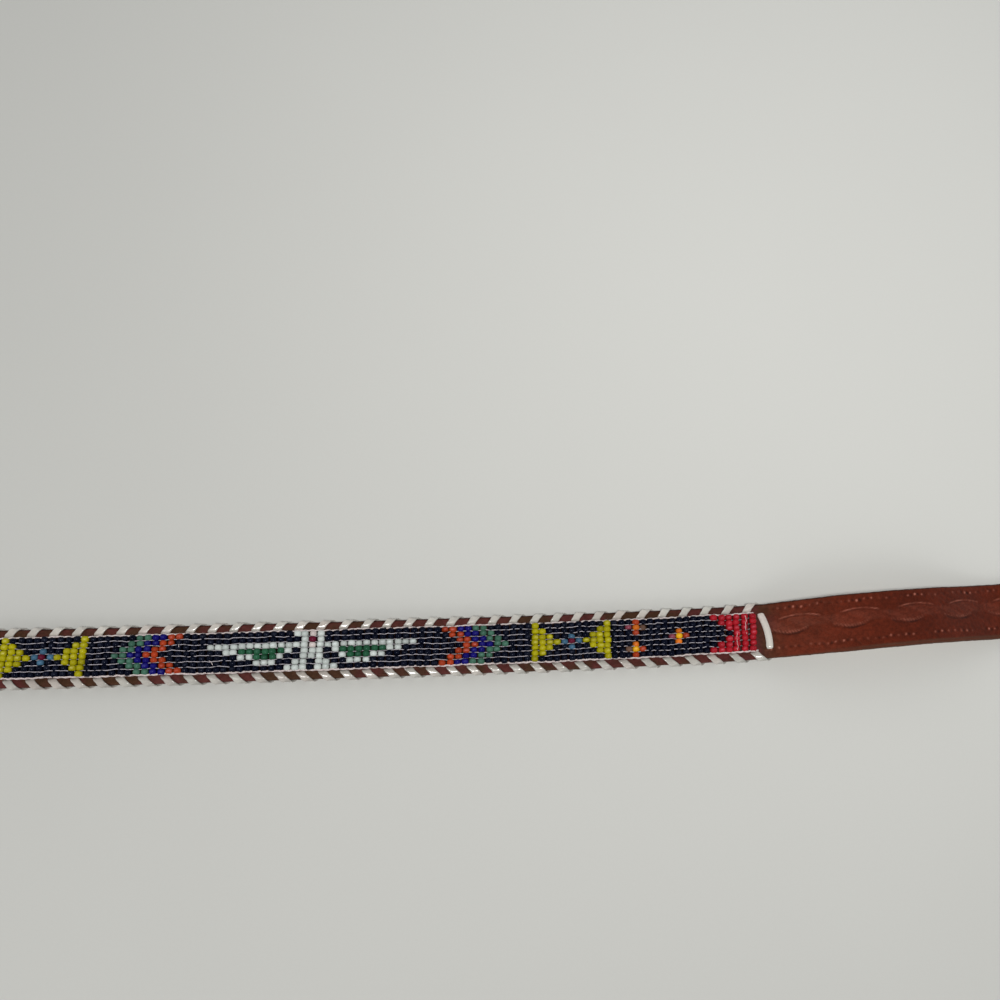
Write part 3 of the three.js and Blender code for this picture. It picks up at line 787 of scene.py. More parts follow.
def leather_finish(colours):
    """Dyed vegetable-tanned leather: grain, dye in the recesses, raw edges and a suede back."""
    f = Finish("tooled_leather")
    dyed, beside_beads = colours.leather, colours.leather_laced
    place = f.place()
    grain_cells = f.cells(place, 1500.0)
    grain = f.noise(place, 2100.0, 4.0, 0.6)
    cloud = f.noise(place, 42.0, 4.0, 0.6)
    streak = f.noise(place, 170.0, 4.0, 0.65)
    mottle = f.noise(place, 640.0, 3.0, 0.6).step(0.28, 0.72)
    top = f.blend(cloud.step(0.3, 0.72), dyed, tinted(dyed, 0.62, 0.62, 0.62))
    top = f.blend(streak.step(0.5, 0.8) * 0.5, top, tinted(dyed, 1.35, 1.3, 1.25))
    cast = f.noise(place, 75.0, 2.0)
    laced = f.blend(cast.step(0.42, 0.6), beside_beads, tinted(beside_beads, 0.62, 1.15, 0.62))
    top = f.blend(f.attribute("laced"), top, laced)
    # The dark colour is dye in the tooling's hollows together with painted shade beneath the stamps and on
    # the far edge; the pale colour is worn high spots together with painted light on the raised tooling
    top = f.blend(f.attribute("recess"), top, colours.leather_dark)
    top = f.blend(f.attribute("rubbed"), top, colours.leather_rubbed_and_lit)
    pores = f.cells(place, 900.0).step(0.0, 0.28)

    # Painted shade: the leather under the beads is darkened as if in their shadow
    painted_daylight = 1 - f.attribute("covered") * 0.9
    top = f.brighten(top, (0.5 + pores * 0.14 + grain * 0.3 + mottle * 0.42) * painted_daylight)
    fibres = f.noise(place, 700.0, 5.0, 0.75)
    edge = f.brighten(colours.leather_edge, 0.55 + fibres * 0.8)
    flesh = f.brighten(colours.leather_flesh, 0.6 + fibres * 0.75)
    rim = f.attribute("edge") * (1 - f.attribute("laced") * 0.9)
    back = f.attribute("flesh")
    shade = f.blend(back, f.blend(rim, top, edge), flesh)
    raw = rim + back
    roughness = 0.42 + grain * 0.2 + raw * 0.3
    height = grain_cells * 0.5 + grain * 0.6 + streak * 1.1 + mottle * 0.9 + fibres * raw * 1.4
    return f.surface(shade, roughness, f.bump(height, 0.5, 0.2 * MM),
                     {"Specular IOR Level": 0.16, "Specular Tint": (1.0, 0.62, 0.45)})


def brass_finish(colour):
    """Satin brass with fine scratches and darker tarnish in broad clouds."""
    f = Finish("satin_brass")
    place = f.place()
    cloud = f.noise(place, 120.0, 4.0, 0.6)
    scratches = f.noise(f.scaled(place, (90, 2400, 900), (0, 0, 0.3)), 1.0, 3.0)
    shade = f.blend(cloud.step(0.4, 0.75), colour, tinted(colour, 0.62, 0.62, 0.62))
    roughness = 0.24 + cloud * 0.16 + scratches * 0.12
    return f.surface(shade, roughness, f.bump(scratches, 0.25, 0.03 * MM), {"Metallic": 1.0})


def floor_finish(colour):
    """A pale painted table top, with a painted pool of light: a little darker away from a spot to the right
    of the belt.
    """
    f = Finish("pale_table")
    place = f.place()
    cloud = f.noise(place, 5.0, 3.0)
    speck = f.noise(place, 900.0, 3.0)
    away = f.node("ShaderNodeVectorMath", {"operation": "DISTANCE"}, place, (0.32, 0.22, 0))
    shade = f.brighten(colour, 0.98 + cloud * 0.04 + speck * 0.02 - away.step(0.03, 0.5) * 0.27)
    return f.surface(shade, 0.7, f.bump(speck, 0.08, 0.05 * MM), {})


# Beads and threads

def column_place(path, column):
    """Where a column of beads is along the belt."""
    columns, drifts = zip(*COLUMN_DRIFT)
    drift = np.interp(abs(column), columns, drifts) * MM
    return column * path.sizes.pitch_along + (drift if column >= 0 else -drift)


def weave(path, s, v):
    """The hand-woven unevenness at a place of the panel: a shift along and a shift across."""
    seed = path.sizes.seed
    slant = 0.09 + 0.06 * ripple(s, 160 * MM, seed)
    sway = 0.16 * MM * ripple(s, 46 * MM, seed + 1) + 0.1 * MM * ripple(s + v * 9, 21 * MM, seed + 2)
    return slant * v, sway


def bead_shape(sizes):
    """One drilled, rounded bead round the v axis, by spinning its outline."""
    hole = sizes.bead_hole / 2
    radius = sizes.bead_diameter / 2
    half = sizes.bead_length / 2
    outline = ((hole, -0.82), (0.66 * radius, -1), (0.91 * radius, -0.68), (radius, 0),
               (0.91 * radius, 0.68), (0.66 * radius, 1), (hole, 0.82))
    bm = bmesh.new()
    points = [bm.verts.new((r, share * half, 0)) for r, share in outline]
    edges = [bm.edges.new((a, b)) for a, b in zip(points, points[1:] + points[:1])]
    bmesh.ops.spin(bm, geom=points + edges, cent=(0, 0, 0), axis=(0, 1, 0), angle=2 * math.pi, steps=12,
                   use_merge=True)
    bmesh.ops.remove_doubles(bm, verts=bm.verts, dist=1e-7)
    bmesh.ops.recalc_face_normals(bm, faces=bm.faces)
    return finished(bm, bpy.data.meshes.new("bead_shape"))


def bead_field(name, path, beads, plump):
    """Many beads as one mesh. beads holds (column, row) pairs, plump scales their size."""
    sizes = path.sizes
    shape = bead_shape(sizes)
    points = point_array(shape)
    faces = np.array([list(face.vertices) for face in shape.polygons])
    bpy.data.meshes.remove(shape)
    middle = (BEAD_ROWS + 1) / 2
    seat = sizes.strap_thickness + CLEARANCE + sizes.bead_diameter / 2
    all_points, tones, painted_glints = [], [], []
    for column, row in beads:
        draw = random.Random(sizes.seed * 100003 + column * 97 + row)
        turn = Euler((draw.gauss(0, 0.08), draw.uniform(0, math.pi), draw.gauss(0, 0.1)), "YXZ").to_matrix()
        scale = plump + draw.gauss(0, 0.035)
        own = points * (scale, plump + draw.gauss(0, 0.05), scale) @ np.array(turn).T
        s = column_place(path, column) + draw.gauss(0, 0.13) * MM
        v = (middle - row) * sizes.pitch_across + draw.gauss(0, 0.09) * MM
        along, across = weave(path, s, v)
        n = seat + draw.gauss(0, 0.09) * MM
        all_points.append(own + (s + along, v + across, n))
        # Painted highlight: a pale spot on top of each bead, of random strength
        height = own[:, 2] / (sizes.bead_diameter / 2)
        from_middle = np.abs(own[:, 1]) / (sizes.bead_length / 2)
        crown = smooth((height - 0.8) / 0.16) * smooth(1 - from_middle / 0.7)
        painted_glints.append(crown * draw.uniform(0.3, 1))
        tones.append(np.full(len(points), min(max(draw.gauss(0.5, 0.2), 0), 1)))
    all_points = np.concatenate(all_points)
    shifts = np.arange(len(beads))[:, None, None] * len(points)
    mesh = bpy.data.meshes.new(name)
    mesh.from_pydata(path.place(*all_points.T), [], (faces + shifts).reshape(-1, faces.shape[1]))
    set_attribute(mesh, "tone", np.concatenate(tones))
    set_attribute(mesh, "crown", np.concatenate(painted_glints))
    mesh.shade_smooth()
    return mesh


def thread(name, path, s, v, n, diameter, points=7):
    """One thread along the belt through places (s, v, n)."""
    line = np.stack(np.broadcast_arrays(s, v, n), -1)
    placed, up = in_belt_space(path, line, np.broadcast_to([0.0, 0.0, 1.0], line.shape))
    return sweep(name, placed, up, oval(points) * diameter / 2)


def warp_threads(path):
    """The threads that lie in the grooves between the rows, sunk beside beads of some colours."""
    sizes = path.sizes
    chart = bead_chart()
    made = []
    bead_top = sizes.strap_thickness + CLEARANCE + sizes.bead_diameter
    for groove in range(1, BEAD_ROWS):
        v = ((BEAD_ROWS / 2) - groove) * sizes.pitch_across
        s = np.arange(-path.panel_half + 0.5 * MM, path.panel_half, 0.85 * MM)
        _, sway = weave(path, s, v)
        beat = np.sin(2 * math.pi * (s / sizes.pitch_along + groove * 0.37))
        scallop = smooth((np.abs(s) - 180 * MM) / (60 * MM))
        wander = (0.24 * MM * scallop * np.abs(beat) + 0.3 * MM * ripple(s, 13 * MM, groove)
                  + 0.13 * MM * beat * ripple(s, 37 * MM, groove + 40))
        nearest = np.clip(np.rint(s / sizes.pitch_along), -LAST_COLUMN, LAST_COLUMN).astype(int)
        sinking = np.array([sum(THREAD_SINKING.get(chart[column, row], 1.0) for row in (groove, groove + 1))
                            for column in nearest])
        sinking = np.convolve(sinking, (0.25, 0.5, 0.25), "same")
        dip = (0.45 * MM + 0.26 * MM * ripple(s, 9 * MM, groove + 20)
               - (0.12 + 0.3 * scallop) * MM * beat + 0.34 * MM * sinking)
        made.append(thread(f"warp_{groove}", path, s, v + sway + wander, bead_top - dip,
                           sizes.warp_diameter, 6))
    return joined("warp_threads", made)


def selvage_threads(path):
    """The thicker threads along both edges of the panel, lifted a little by each weft loop."""
    sizes = path.sizes
    made = []
    for side in (-1, 1):
        s = np.arange(-path.panel_half - 0.8 * MM, path.panel_half + 0.9 * MM, 0.7 * MM)
        _, sway = weave(path, s, side * path.panel_half_width)
        loops = 0.12 * MM * np.cos(2 * math.pi * s / sizes.pitch_along)
        v = side * (path.panel_half_width - 0.04 * MM + loops)
        v = v + sway + 0.15 * MM * ripple(s, 17 * MM, side + 5)
        n = sizes.strap_thickness + 2.1 * MM + 0.25 * MM * ripple(s, 11 * MM, side + 9)
        made.append(thread(f"selvage_{side}", path, s, v, n, sizes.selvage_diameter, 8))
        made.append(thread(f"under_selvage_{side}", path, s, v + side * 0.3 * MM, n - 0.62 * MM,
                           sizes.warp_diameter, 6))
    return joined("selvage_threads", made)


def weft_threads(path):
    """The threads through the beads of each column, looped round the selvages."""
    sizes = path.sizes
    made = []
    reach = path.panel_half_width + 0.25 * MM
    seat = sizes.strap_thickness + CLEARANCE + sizes.bead_diameter / 2
    t = np.linspace(0, 1, 6)
    n = seat - 0.55 * MM + 1.15 * MM * t
    for column in range(-LAST_COLUMN, LAST_COLUMN + 1):
        s = column_place(path, column)
        for side in (-1, 1):
            v = side * (reach - 0.75 * MM * (1 - np.sin(math.pi * t)))
            along, across = weave(path, s, v)
            made.append(thread("weft", path, s + along, v + across, n, WEFT_DIAMETER, 5))
    return joined("weft_loops", made)


def stray_threads(path):
    """Loose ends that stand out of the weaving, and threads that cross the rows near its ends."""
    top = path.sizes.strap_thickness + CLEARANCE + path.sizes.bead_diameter
    made = []
    t = np.linspace(0, 1, 9)
    rise = top - 0.2 * MM + 0.5 * MM * np.sin(math.pi * t * 0.8)
    for column, from_middle, degrees, length in STRAY_ENDS:
        angle = math.radians(degrees) + 0.9 * t
        s = column * path.sizes.pitch_along + np.cumsum(np.cos(angle)) / len(t) * length * MM
        v = from_middle * MM + np.cumsum(np.sin(angle)) / len(t) * length * MM
        made.append(thread("stray", path, s, v, rise, STRAY_DIAMETER, 5))
    for column, low, high in CROSSING_THREADS:
        v = np.linspace(low, high, 25) * MM
        for end in (-1, 1):
            s = end * (column * path.sizes.pitch_along + 0.35 * MM * ripple(v, 6 * MM, int(column)))
            along, across = weave(path, s, v)
            made.append(thread("crossing", path, s + along, v + across, top - 0.02 * MM,
                               CROSSING_DIAMETER, 5))
    return joined("stray_thread_ends", made)


# Laces

def pillow(points, width, thickness):
    """The section of a soft flat lace."""
    return oval(points, 3.2) * (width / 2, thickness / 2)


def edge_lace(name, path, side, turns):
    """A lace that spirals round one edge of the strap, through a slit beside the beads."""
    sizes = path.sizes
    slit = path.panel_half_width + 0.5 * MM
    rim = sizes.strap_width / 2 - sizes.laced_pinch
    stand = sizes.lace_thickness / 2 + 0.04 * MM
    middle_v = (slit + rim + stand) / 2
    reach_v = (rim + stand - slit) / 2
    middle_n = sizes.strap_thickness / 2
    reach_n = middle_n + stand

    # One turn: out of the slit, over the top to the rim, and back underneath
    per_turn = 26
    turn = 0.1 + np.arange((turns - 0.06) * per_turn) / per_turn
    phase = turn % 1
    angle = math.pi - 2 * math.pi * phase
    cos, sin = np.cos(angle), np.sin(angle)
    square = 2 / 2.9
    v = middle_v + reach_v * rounded(cos, square)
    n = middle_n + reach_n * rounded(sin, square)
    normal_v = rounded(cos, 2 - square) / reach_v
    normal_n = rounded(sin, 2 - square) / reach_n

    # How far along it has come, with each turn set one by one
    shift = glide(phase, LACE_TURN, LACE_CROSSING[side])
    wander = 0.2 * MM * ripple(np.floor(turn) * 9.0, 37.0, int(5 + side))
    s = (np.floor(turn) - (turns - 1) / 2 + shift) * sizes.lace_pitch + wander * np.sin(math.pi * phase)
    places, drifts = np.array(LACE_DRIFT[side]).T * MM
    s = s + np.interp(s, places, drifts)
    line = np.stack([s, side * v, n], -1)
    outward = np.stack([0 * s, side * normal_v, normal_n], -1)
    placed, out = in_belt_space(path, line, outward)

    # Squeezed in the slit, and each turn with a brightness of its own
    own = np.array([random.Random(int(k) * 31 + side).random() for k in np.floor(turn)])
    in_slit = smooth((np.abs(phase - 0.5) - 0.36) / 0.1)
    squeeze = np.stack([1 - 0.14 * in_slit, 1 - 0.2 * in_slit], -1)
    section = pillow(12, sizes.lace_width, sizes.lace_thickness)[None] * squeeze[:, None]
    rim_shade = smooth((phase - 0.3) / 0.12) * smooth((0.9 - phase) / 0.2)
    # Painted shade: the near lace's tone starts lower, so it is darker than the far lace
    brightness = 0.65 if side > 0 else 0.2
    return sweep(name, placed, out, section,
                 lambda i, j: {"tone": own[i] * 0.35 + brightness, "rim": rim_shade[i]})


def end_lace(name, path, end):
    """The lace across the strap just past one end of the beads."""
    sizes = path.sizes
    top = sizes.strap_thickness + sizes.lace_thickness / 2 + 0.03 * MM
    t = np.linspace(-1, 1, 41)
    straight = np.clip(t * 1.08, -1, 1)
    slowed = np.sin(np.clip(t * 1.04, -1, 1) * math.pi / 2 * 0.999)
    share = 0.55 * straight + 0.45 * slowed
    dive = smooth((np.abs(t) - 0.86) / 0.14)
    n = top - END_LACE_DIVE * dive ** 1.6
    bend = END_LACE_BOW * (1 - share * share) - share * END_LACE_SLANT / 2
    s = end * (path.panel_half + END_LACE_GAP + bend)
    line = np.stack([s, share * END_LACE_HALF, n], -1)
    outward = np.stack([0 * t, np.sign(t) * dive * 1.1, 1.0 - 0.55 * dive], -1)
    placed, out = in_belt_space(path, line, outward)
    narrowing = np.stack([1 - 0.45 * smooth((np.abs(t) - 0.8) / 0.2), 1 + 0 * t], -1)
    section = pillow(12, sizes.lace_width, sizes.lace_thickness)[None] * narrowing[:, None]
    # Painted shade: the rim value darkens the lace where it dives into its slits
    return sweep(name, placed, out, section,
                 lambda i, j: {"tone": np.full(len(i), 0.9), "rim": 0.5 * dive[i]})


# Leather

def tooling(path, s, v):
    """Relief of the stamped pattern: a height, the dark stain left in the hollows with painted shade
    beneath the stamps, and the worn high spots with painted light on the raised lines and pearls.
    """
    v = v - 0.8 * MM
    start = path.laced_end + TOOLING_GAP
    u = ((s - start) / LEAF_LENGTH + 0.03) % 1.0

    # How hard each stamp was struck, from place to place
    hand = 0.55 + 0.7 * ripple(s + 2 * v, 13 * MM, 3) + 0.45 * ripple(s - 3 * v, 3.1 * MM, 4)

    # The lower side of each leaf: slanted stamps over a dark line of painted shade
    low_share = np.clip((u - 0.02) / 0.66, 0, 1)
    low = v - (-1.1 - 1.7 * np.sin(math.pi * low_share)) * MM
    low_mask = smooth(np.minimum(low_share, 1 - low_share) / 0.09)
    ticks = np.abs(np.sin(math.pi * (s + 0.75 * v) / STAMP_SPACING))
    stamps = hill(low - 0.55 * MM, 0.95 * MM) * low_mask
    under = hill(low + 0.35 * MM, 0.8 * MM) * low_mask

    # Its upper side: a raised line painted lighter, with a fine groove beneath painted dark
    high_share = np.clip(((u - 0.16) % 1.0) / 0.74, 0, 1)
    high = v - (3.6 + 1.4 * np.sin(math.pi * high_share)) * MM
    high_mask = smooth(np.minimum(high_share, 1 - high_share) / 0.12)
    line = hill(high, 0.45 * MM) * high_mask
    beneath = hill(high + 0.6 * MM, 0.5 * MM) * high_mask
    above = hill(high - 0.85 * MM, 0.7 * MM) * high_mask * ticks ** 2 * 0.5

    # Its round end, and a faint rib along its middle
    end = np.hypot((u - 0.16) * LEAF_LENGTH, v - 1.2 * MM) - 3.1 * MM
    end = hill(end, 0.5 * MM) * smooth((0.16 - u) / 0.06)
    rib = hill(v - (1.4 + 0.7 * np.sin(2 * math.pi * u)) * MM, 0.6 * MM) * 0.35
    body = smooth(low / (1.2 * MM)) * smooth(-high / (1.2 * MM))

    # Rows of pearls along both edges, painted pale as lit tops, with dark stamps between them
    along = ((s - start) / PEARL_SPACING + 0.25 * np.sign(v)) % 1.0 - 0.5
    across = np.abs(v) - (path.sizes.strap_width / 2 - PEARL_FROM_EDGE) + 0.5 * MM * ripple(s, 21 * MM, 31)
    pearl = hill(np.hypot(along * PEARL_SPACING, across), 0.75 * MM)
    gap = (0.5 - np.abs(along)) * PEARL_SPACING
    between = hill(gap, 1.05 * MM) * hill(across, 1.25 * MM)
    side = np.sign(v + 1e-9)
    pressed = 0.5 + 1.1 * ripple(s, 27 * MM, 41) * side + 0.5 * ripple(s, 5 * MM, 42)
    pressed = np.clip(pressed, 0.06, 1)
    pearl, between = pearl * pressed, between * (0.45 + 0.55 * pressed)

    begin = smooth((s - start + 3.5 * MM) / (2 * MM)) * smooth((path.tip - PLAIN_TIP - s) / (3 * MM))
    height = (0.45 * line - 0.55 * beneath - 0.5 * above - 0.75 * stamps * ticks ** 2 - 0.5 * under
              - 0.4 * end + 0.2 * rib - 0.12 * body + 0.6 * pearl - 0.75 * between)
    dye_and_shade = (0.6 * beneath + 0.5 * above + 0.6 * stamps * ticks ** 3 + 0.95 * under + 0.5 * end
           + 1.0 * between)
    rubbed = 0.42 * line + 1.0 * pearl + 0.5 * stamps * (1 - ticks) + 0.06 * body
    depth = begin * np.clip(hand + 0.15, 0.3, 1.1)
    return height * depth, np.clip(dye_and_shade * depth, 0, 1), np.clip(rubbed * depth, 0, 1)


def strap_section(half, across, thickness):
    """Places round the strap: v, n and how much each is top, edge and underside."""
    top_round, low_round = 0.85 * MM, 0.5 * MM
    turn = np.radians(np.array([15, 35, 55, 75, 90.0]))
    round_v = half - top_round + top_round * np.sin(turn)
    round_n = thickness - top_round + top_round * np.cos(turn)
    flat, rounding, side, underside = np.zeros(across), np.zeros(5), np.zeros(3), np.zeros(9)
    worn_rounding = np.array([0.2, 0.75, 1, 1, 1])
    v = np.concatenate([
        np.linspace(-1, 1, across) * (half - top_round),
        round_v,
        [half, half - low_round * 0.3, half - low_round],
        np.linspace(0.85, -0.85, 9) * half,
        [-half + low_round, -half + low_round * 0.3, -half],
        -round_v[::-1],
    ])
    n = np.concatenate([
        flat + thickness,
        round_n,
        [thickness * 0.4, low_round * 0.3, 0],
        underside,
        [0, low_round * 0.3, thickness * 0.4],
        round_n[::-1],
    ])
    top = np.concatenate([flat + 1, rounding, side, underside, side, rounding])
    edge = np.concatenate([flat, worn_rounding, [1, 1, 0.6], underside, [0.6, 1, 1], worn_rounding[::-1]])
    flesh = np.concatenate([flat, rounding, [0, 0, 0.4], underside + 1, [0.4, 0, 0], rounding])
    return v, n, top, edge, flesh


def strap_mesh(path):
    """The whole strap with its flap, its stamped relief and the values for its finish."""
    sizes = path.sizes
    fold_end = path.bar - math.pi * path.fold_radius
    plain_end, tooled_from = -path.laced_end - 5 * MM, path.laced_end + 1 * MM
    tooled_to = path.tip - PLAIN_TIP
    stations = np.concatenate([
        np.arange(fold_end - FLAP, fold_end, 2.5 * MM),
        np.arange(fold_end, path.bar, 0.45 * MM),
        np.arange(path.bar, plain_end, 0.8 * MM),
        np.arange(plain_end, tooled_from, 3.0 * MM),
        np.arange(tooled_from, tooled_to, 0.46 * MM),
        tooled_to + PLAIN_TIP * np.sin(np.linspace(0, math.pi / 2, 30)),
    ])
    half = path.half_width(stations) + 0.08 * MM * ripple(stations, 23 * MM, 11)
    points_across = 57
    sections = [strap_section(h, points_across, sizes.strap_thickness) for h in half]
    v, n, top, edge, flesh = (np.array([section[k] for section in sections]) for k in range(5))
    s = np.broadcast_to(stations[:, None], v.shape)
    height, dye_and_shade, rubbed = tooling(path, s, v)
    mirrored = tooling(path, 2 * MM - s, v)
    height, dye_and_shade, rubbed = (a + b * (s < 0) for a, b in zip((height, dye_and_shade, rubbed), mirrored))
    inside = smooth((half[:, None] - np.abs(v)) / (1.6 * MM)) * (s > path.bar)
    # Painted shade: marks the top under the beads for darkening
    covered = (np.abs(s) < path.panel_half - 16 * MM) & (np.abs(v) < path.panel_half_width - 0.1 * MM)
    # Painted shade: on the far side only, the edge's top rounding takes the dark recess colour instead of
    # the raw edge colour
    dyed = edge * (v > 0) * smooth((n - 1.2 * MM) / (0.6 * MM))
    # The raw-edge colour spreads over the top within about 2 mm of the near edge, along the strap past the
    # lacing towards the tip
    near_edge_band = smooth((2.1 * MM - half[:, None] - v) / (1.2 * MM))
    near_edge_band = top * near_edge_band * smooth((s - path.laced_end - 12 * MM) / (40 * MM))
    edge = np.maximum(edge, 0.9 * near_edge_band)
    laced = smooth((path.laced_end + 9 * MM - np.abs(s)) / (14 * MM))
    n = n + top * inside * (height * sizes.tooling_depth + 0.07 * MM * ripple(s + 2 * v, 19 * MM, 17))
    v = v + (edge > 0) * np.sign(v) * 0.07 * MM * ripple(s + n * 3, 5 * MM, 23)

    def place(i, j):
        return path.place(stations[i], v[i, j], n[i, j])

    def values(i, j):
        shares = {"recess": np.clip(dye_and_shade * top + dyed, 0, 1), "rubbed": rubbed * top, "laced": laced,
                  "edge": edge * (1 - dyed), "flesh": flesh, "covered": covered * top}
        return {name: share[i, j] for name, share in shares.items()}

    def uv(i, j):
        j = j % v.shape[1]
        return stations[i], v[i, j]

    return skin("strap_tooled", len(stations) - 1, v.shape[1], place, values, uv)


def cut_away(piece, cutters):
    """Cuts closed shapes out of a piece."""
    for cutter in cutters:
        tool = bpy.data.objects.new("cutter", cutter)
        bpy.context.scene.collection.objects.link(tool)
        modifier = piece.modifiers.new("Cut", "BOOLEAN")
        modifier.operation = "DIFFERENCE"
        modifier.solver = "MANIFOLD"
        modifier.object = tool
        cut = bpy.data.meshes.new_from_object(piece.evaluated_get(bpy.context.evaluated_depsgraph_get()))
        piece.modifiers.clear()
        old = piece.data
        cut.name = old.name
        piece.data = cut
        bpy.data.meshes.remove(old)
        bpy.data.objects.remove(tool)
        bpy.data.meshes.remove(cutter)


def punch(path, s, diameter):
    """A round punch through the strap at s."""
    bm = bmesh.new()
    bmesh.ops.create_cone(bm, cap_ends=True, segments=28, radius1=diameter / 2, radius2=diameter / 2,
                          depth=12 * MM)
    origin, v, n = path.frame(np.array([s]))
    ahead = np.cross(v[0], n[0])
    turn = Matrix([ahead, v[0], n[0]]).transposed().to_4x4()
    turn.translation = Vector(origin[0] + n[0] * path.sizes.strap_thickness / 2)
    bmesh.ops.transform(bm, matrix=turn, verts=bm.verts)
    return finished(bm, bpy.data.meshes.new("punch"))


def buckle_matrix(path, tilt):
    """Turns a shape drawn round the bar, +X towards the beads, to where the buckle lies."""
    origin = path.place(path.bar, 0, 0)
    at = Vector((origin[0], origin[1], path.bar_height))
    heading = float(path.heading(path.bar))
    return Matrix.Translation(at) @ Matrix.Rotation(heading, 4, "Z") @ Matrix.Rotation(-tilt, 4, "Y")


def laid_down(path, mesh):
    """A part of the buckle, leaning from the bar down to the table."""
    tilt = math.asin((path.bar_height - BAR_SIZE / 2) / BUCKLE_REACH)
    mesh.transform(buckle_matrix(path, tilt))
    return mesh


def prong_slot(path):
    """The slot for the prong, through the fold."""
    reach = PRONG_SLOT + path.fold_radius + path.sizes.strap_thickness + MM
    bm = bmesh.new()
    bmesh.ops.create_cube(bm, size=1.0)
    width = PRONG_DIAMETER + 2 * PRONG_SLOT_PLAY
    place = Matrix.Translation((PRONG_SLOT - reach / 2, 0, 0)) @ Matrix.Diagonal((reach, width, 40 * MM, 1))
    bmesh.ops.transform(bm, matrix=place, verts=bm.verts)
    upright = [edge for edge in bm.edges if abs(edge.verts[0].co.z - edge.verts[1].co.z) > 1 * MM
               and edge.verts[0].co.x > 0]
    bmesh.ops.bevel(bm, geom=upright, offset=width * 0.45, affect="EDGES", segments=5, profile=0.5,
                    material=-1)
    bmesh.ops.transform(bm, matrix=buckle_matrix(path, 0), verts=bm.verts)
    return finished(bm, bpy.data.meshes.new("slot"))


def rounded_loop(half_x, half_y, corner, per_corner, per_side):
    """Points round a rounded rectangle in its own plane, with the way out at each."""
    straight_x, straight_y = half_x - corner, half_y - corner
    points, outward = [], []
    corners = ((1, 1, 0), (-1, 1, 90), (-1, -1, 180), (1, -1, 270))
    for index, (x, y, start) in enumerate(corners):
        for k in range(per_corner + 1):
            angle = math.radians(start + 90 * k / per_corner)
            way = (math.cos(angle), math.sin(angle))
            points.append((x * straight_x + way[0] * corner, y * straight_y + way[1] * corner))
            outward.append(way)
        last = points[-1]
        next_x, next_y, _ = corners[(index + 1) % 4]
        target = (next_x * straight_x + way[0] * corner, next_y * straight_y + way[1] * corner)
        for k in range(1, per_side):
            share = k / per_side
            points.append(tuple(a + (b - a) * share for a, b in zip(last, target)))
            outward.append(way)
    return np.array(points), np.array(outward)


def keeper_mesh(path):
    """A leather loop round the strap and its flap."""
    sizes = path.sizes
    half_v = sizes.strap_width / 2 + KEEPER_SIDE_ROOM + KEEPER_THICKNESS / 2
    low = -CLEARANCE - KEEPER_THICKNESS / 2
    high = sizes.strap_thickness + KEEPER_ROOM + KEEPER_THICKNESS / 2
    points, outward = rounded_loop(half_v, (high - low) / 2, KEEPER_BEND, 6, 12)
    s = path.bar + KEEPER_FROM_BAR
    centre = np.stack([np.full(len(points), s), points[:, 0], points[:, 1] + (low + high) / 2], -1)
    section = oval(20, 5.0) * (KEEPER_WIDTH / 2, KEEPER_THICKNESS / 2)
    out = np.stack([np.zeros(len(points)), outward[:, 0], outward[:, 1]], -1)
    ahead = unit(np.roll(centre, -1, 0) - np.roll(centre, 1, 0))
    side = np.cross(ahead, out)

    def place(i, j):
        at = section[j]
        local = centre[i] + side[i] * at[:, :1] + out[i] * at[:, 1:]
        return path.place(*local.T)

    def values(i, j):
        rim = smooth((np.abs(section[j, 0]) / (KEEPER_WIDTH / 2) - 0.9) / 0.08)
        return {"edge": rim, "flesh": smooth(-section[j, 1] / (0.5 * MM)) * (1 - rim),
                "recess": hill(np.abs(section[j, 0]) - KEEPER_WIDTH * 0.37, 0.5 * MM) * (section[j, 1] > 0),
                "rubbed": 0 * rim, "laced": 0 * rim}

    return skin("keeper_band", len(points), len(section), place, values, None, ring=True)


def flap_stitches(path):
    """Two rows of saddle stitches that hold the flap."""
    t = np.linspace(-1, 1, 11)
    n = path.sizes.strap_thickness + 0.32 * MM - 0.75 * MM * np.abs(t) ** 4
    made = []
    for row in STITCH_ROWS:
        for k in range(STITCHES_PER_ROW):
            v = (k - (STITCHES_PER_ROW - 1) / 2) * STITCH_SPACING + 1.25 * MM * t
            made.append(thread("stitch", path, path.bar + row + 0.35 * MM * t, v, n, STITCH_DIAMETER))
    return joined("flap_stitches", made)


def buckle_ring(path):
    """The buckle's frame as one ring, rounder at the bar."""
    inner_half = path.sizes.strap_width / 2 + BUCKLE_SIDE_PLAY
    left = BUCKLE_SIDE / 2 - BUCKLE_REACH
    points, _ = rounded_loop(-left / 2, inner_half + BUCKLE_SIDE / 2, BUCKLE_BEND, 10, 14)
    line = np.stack([points[:, 0] + left / 2, points[:, 1], 0 * points[:, 0]], -1)
    out = np.broadcast_to([0.0, 0.0, 1.0], line.shape)
    at_bar = smooth((line[:, 0] - left * 0.25) / (-left * 0.25))
    at_bar = at_bar * smooth((inner_half - np.abs(line[:, 1])) / (2 * MM))
    wide = (BUCKLE_SIDE * (1 - at_bar) + BAR_SIZE * at_bar) / 2
    section = oval(20, 3.4)[None] * np.stack([wide, np.full(len(wide), BAR_SIZE / 2)], -1)[:, None]
    return laid_down(path, sweep("buckle_ring", line, out, section, ring=True))


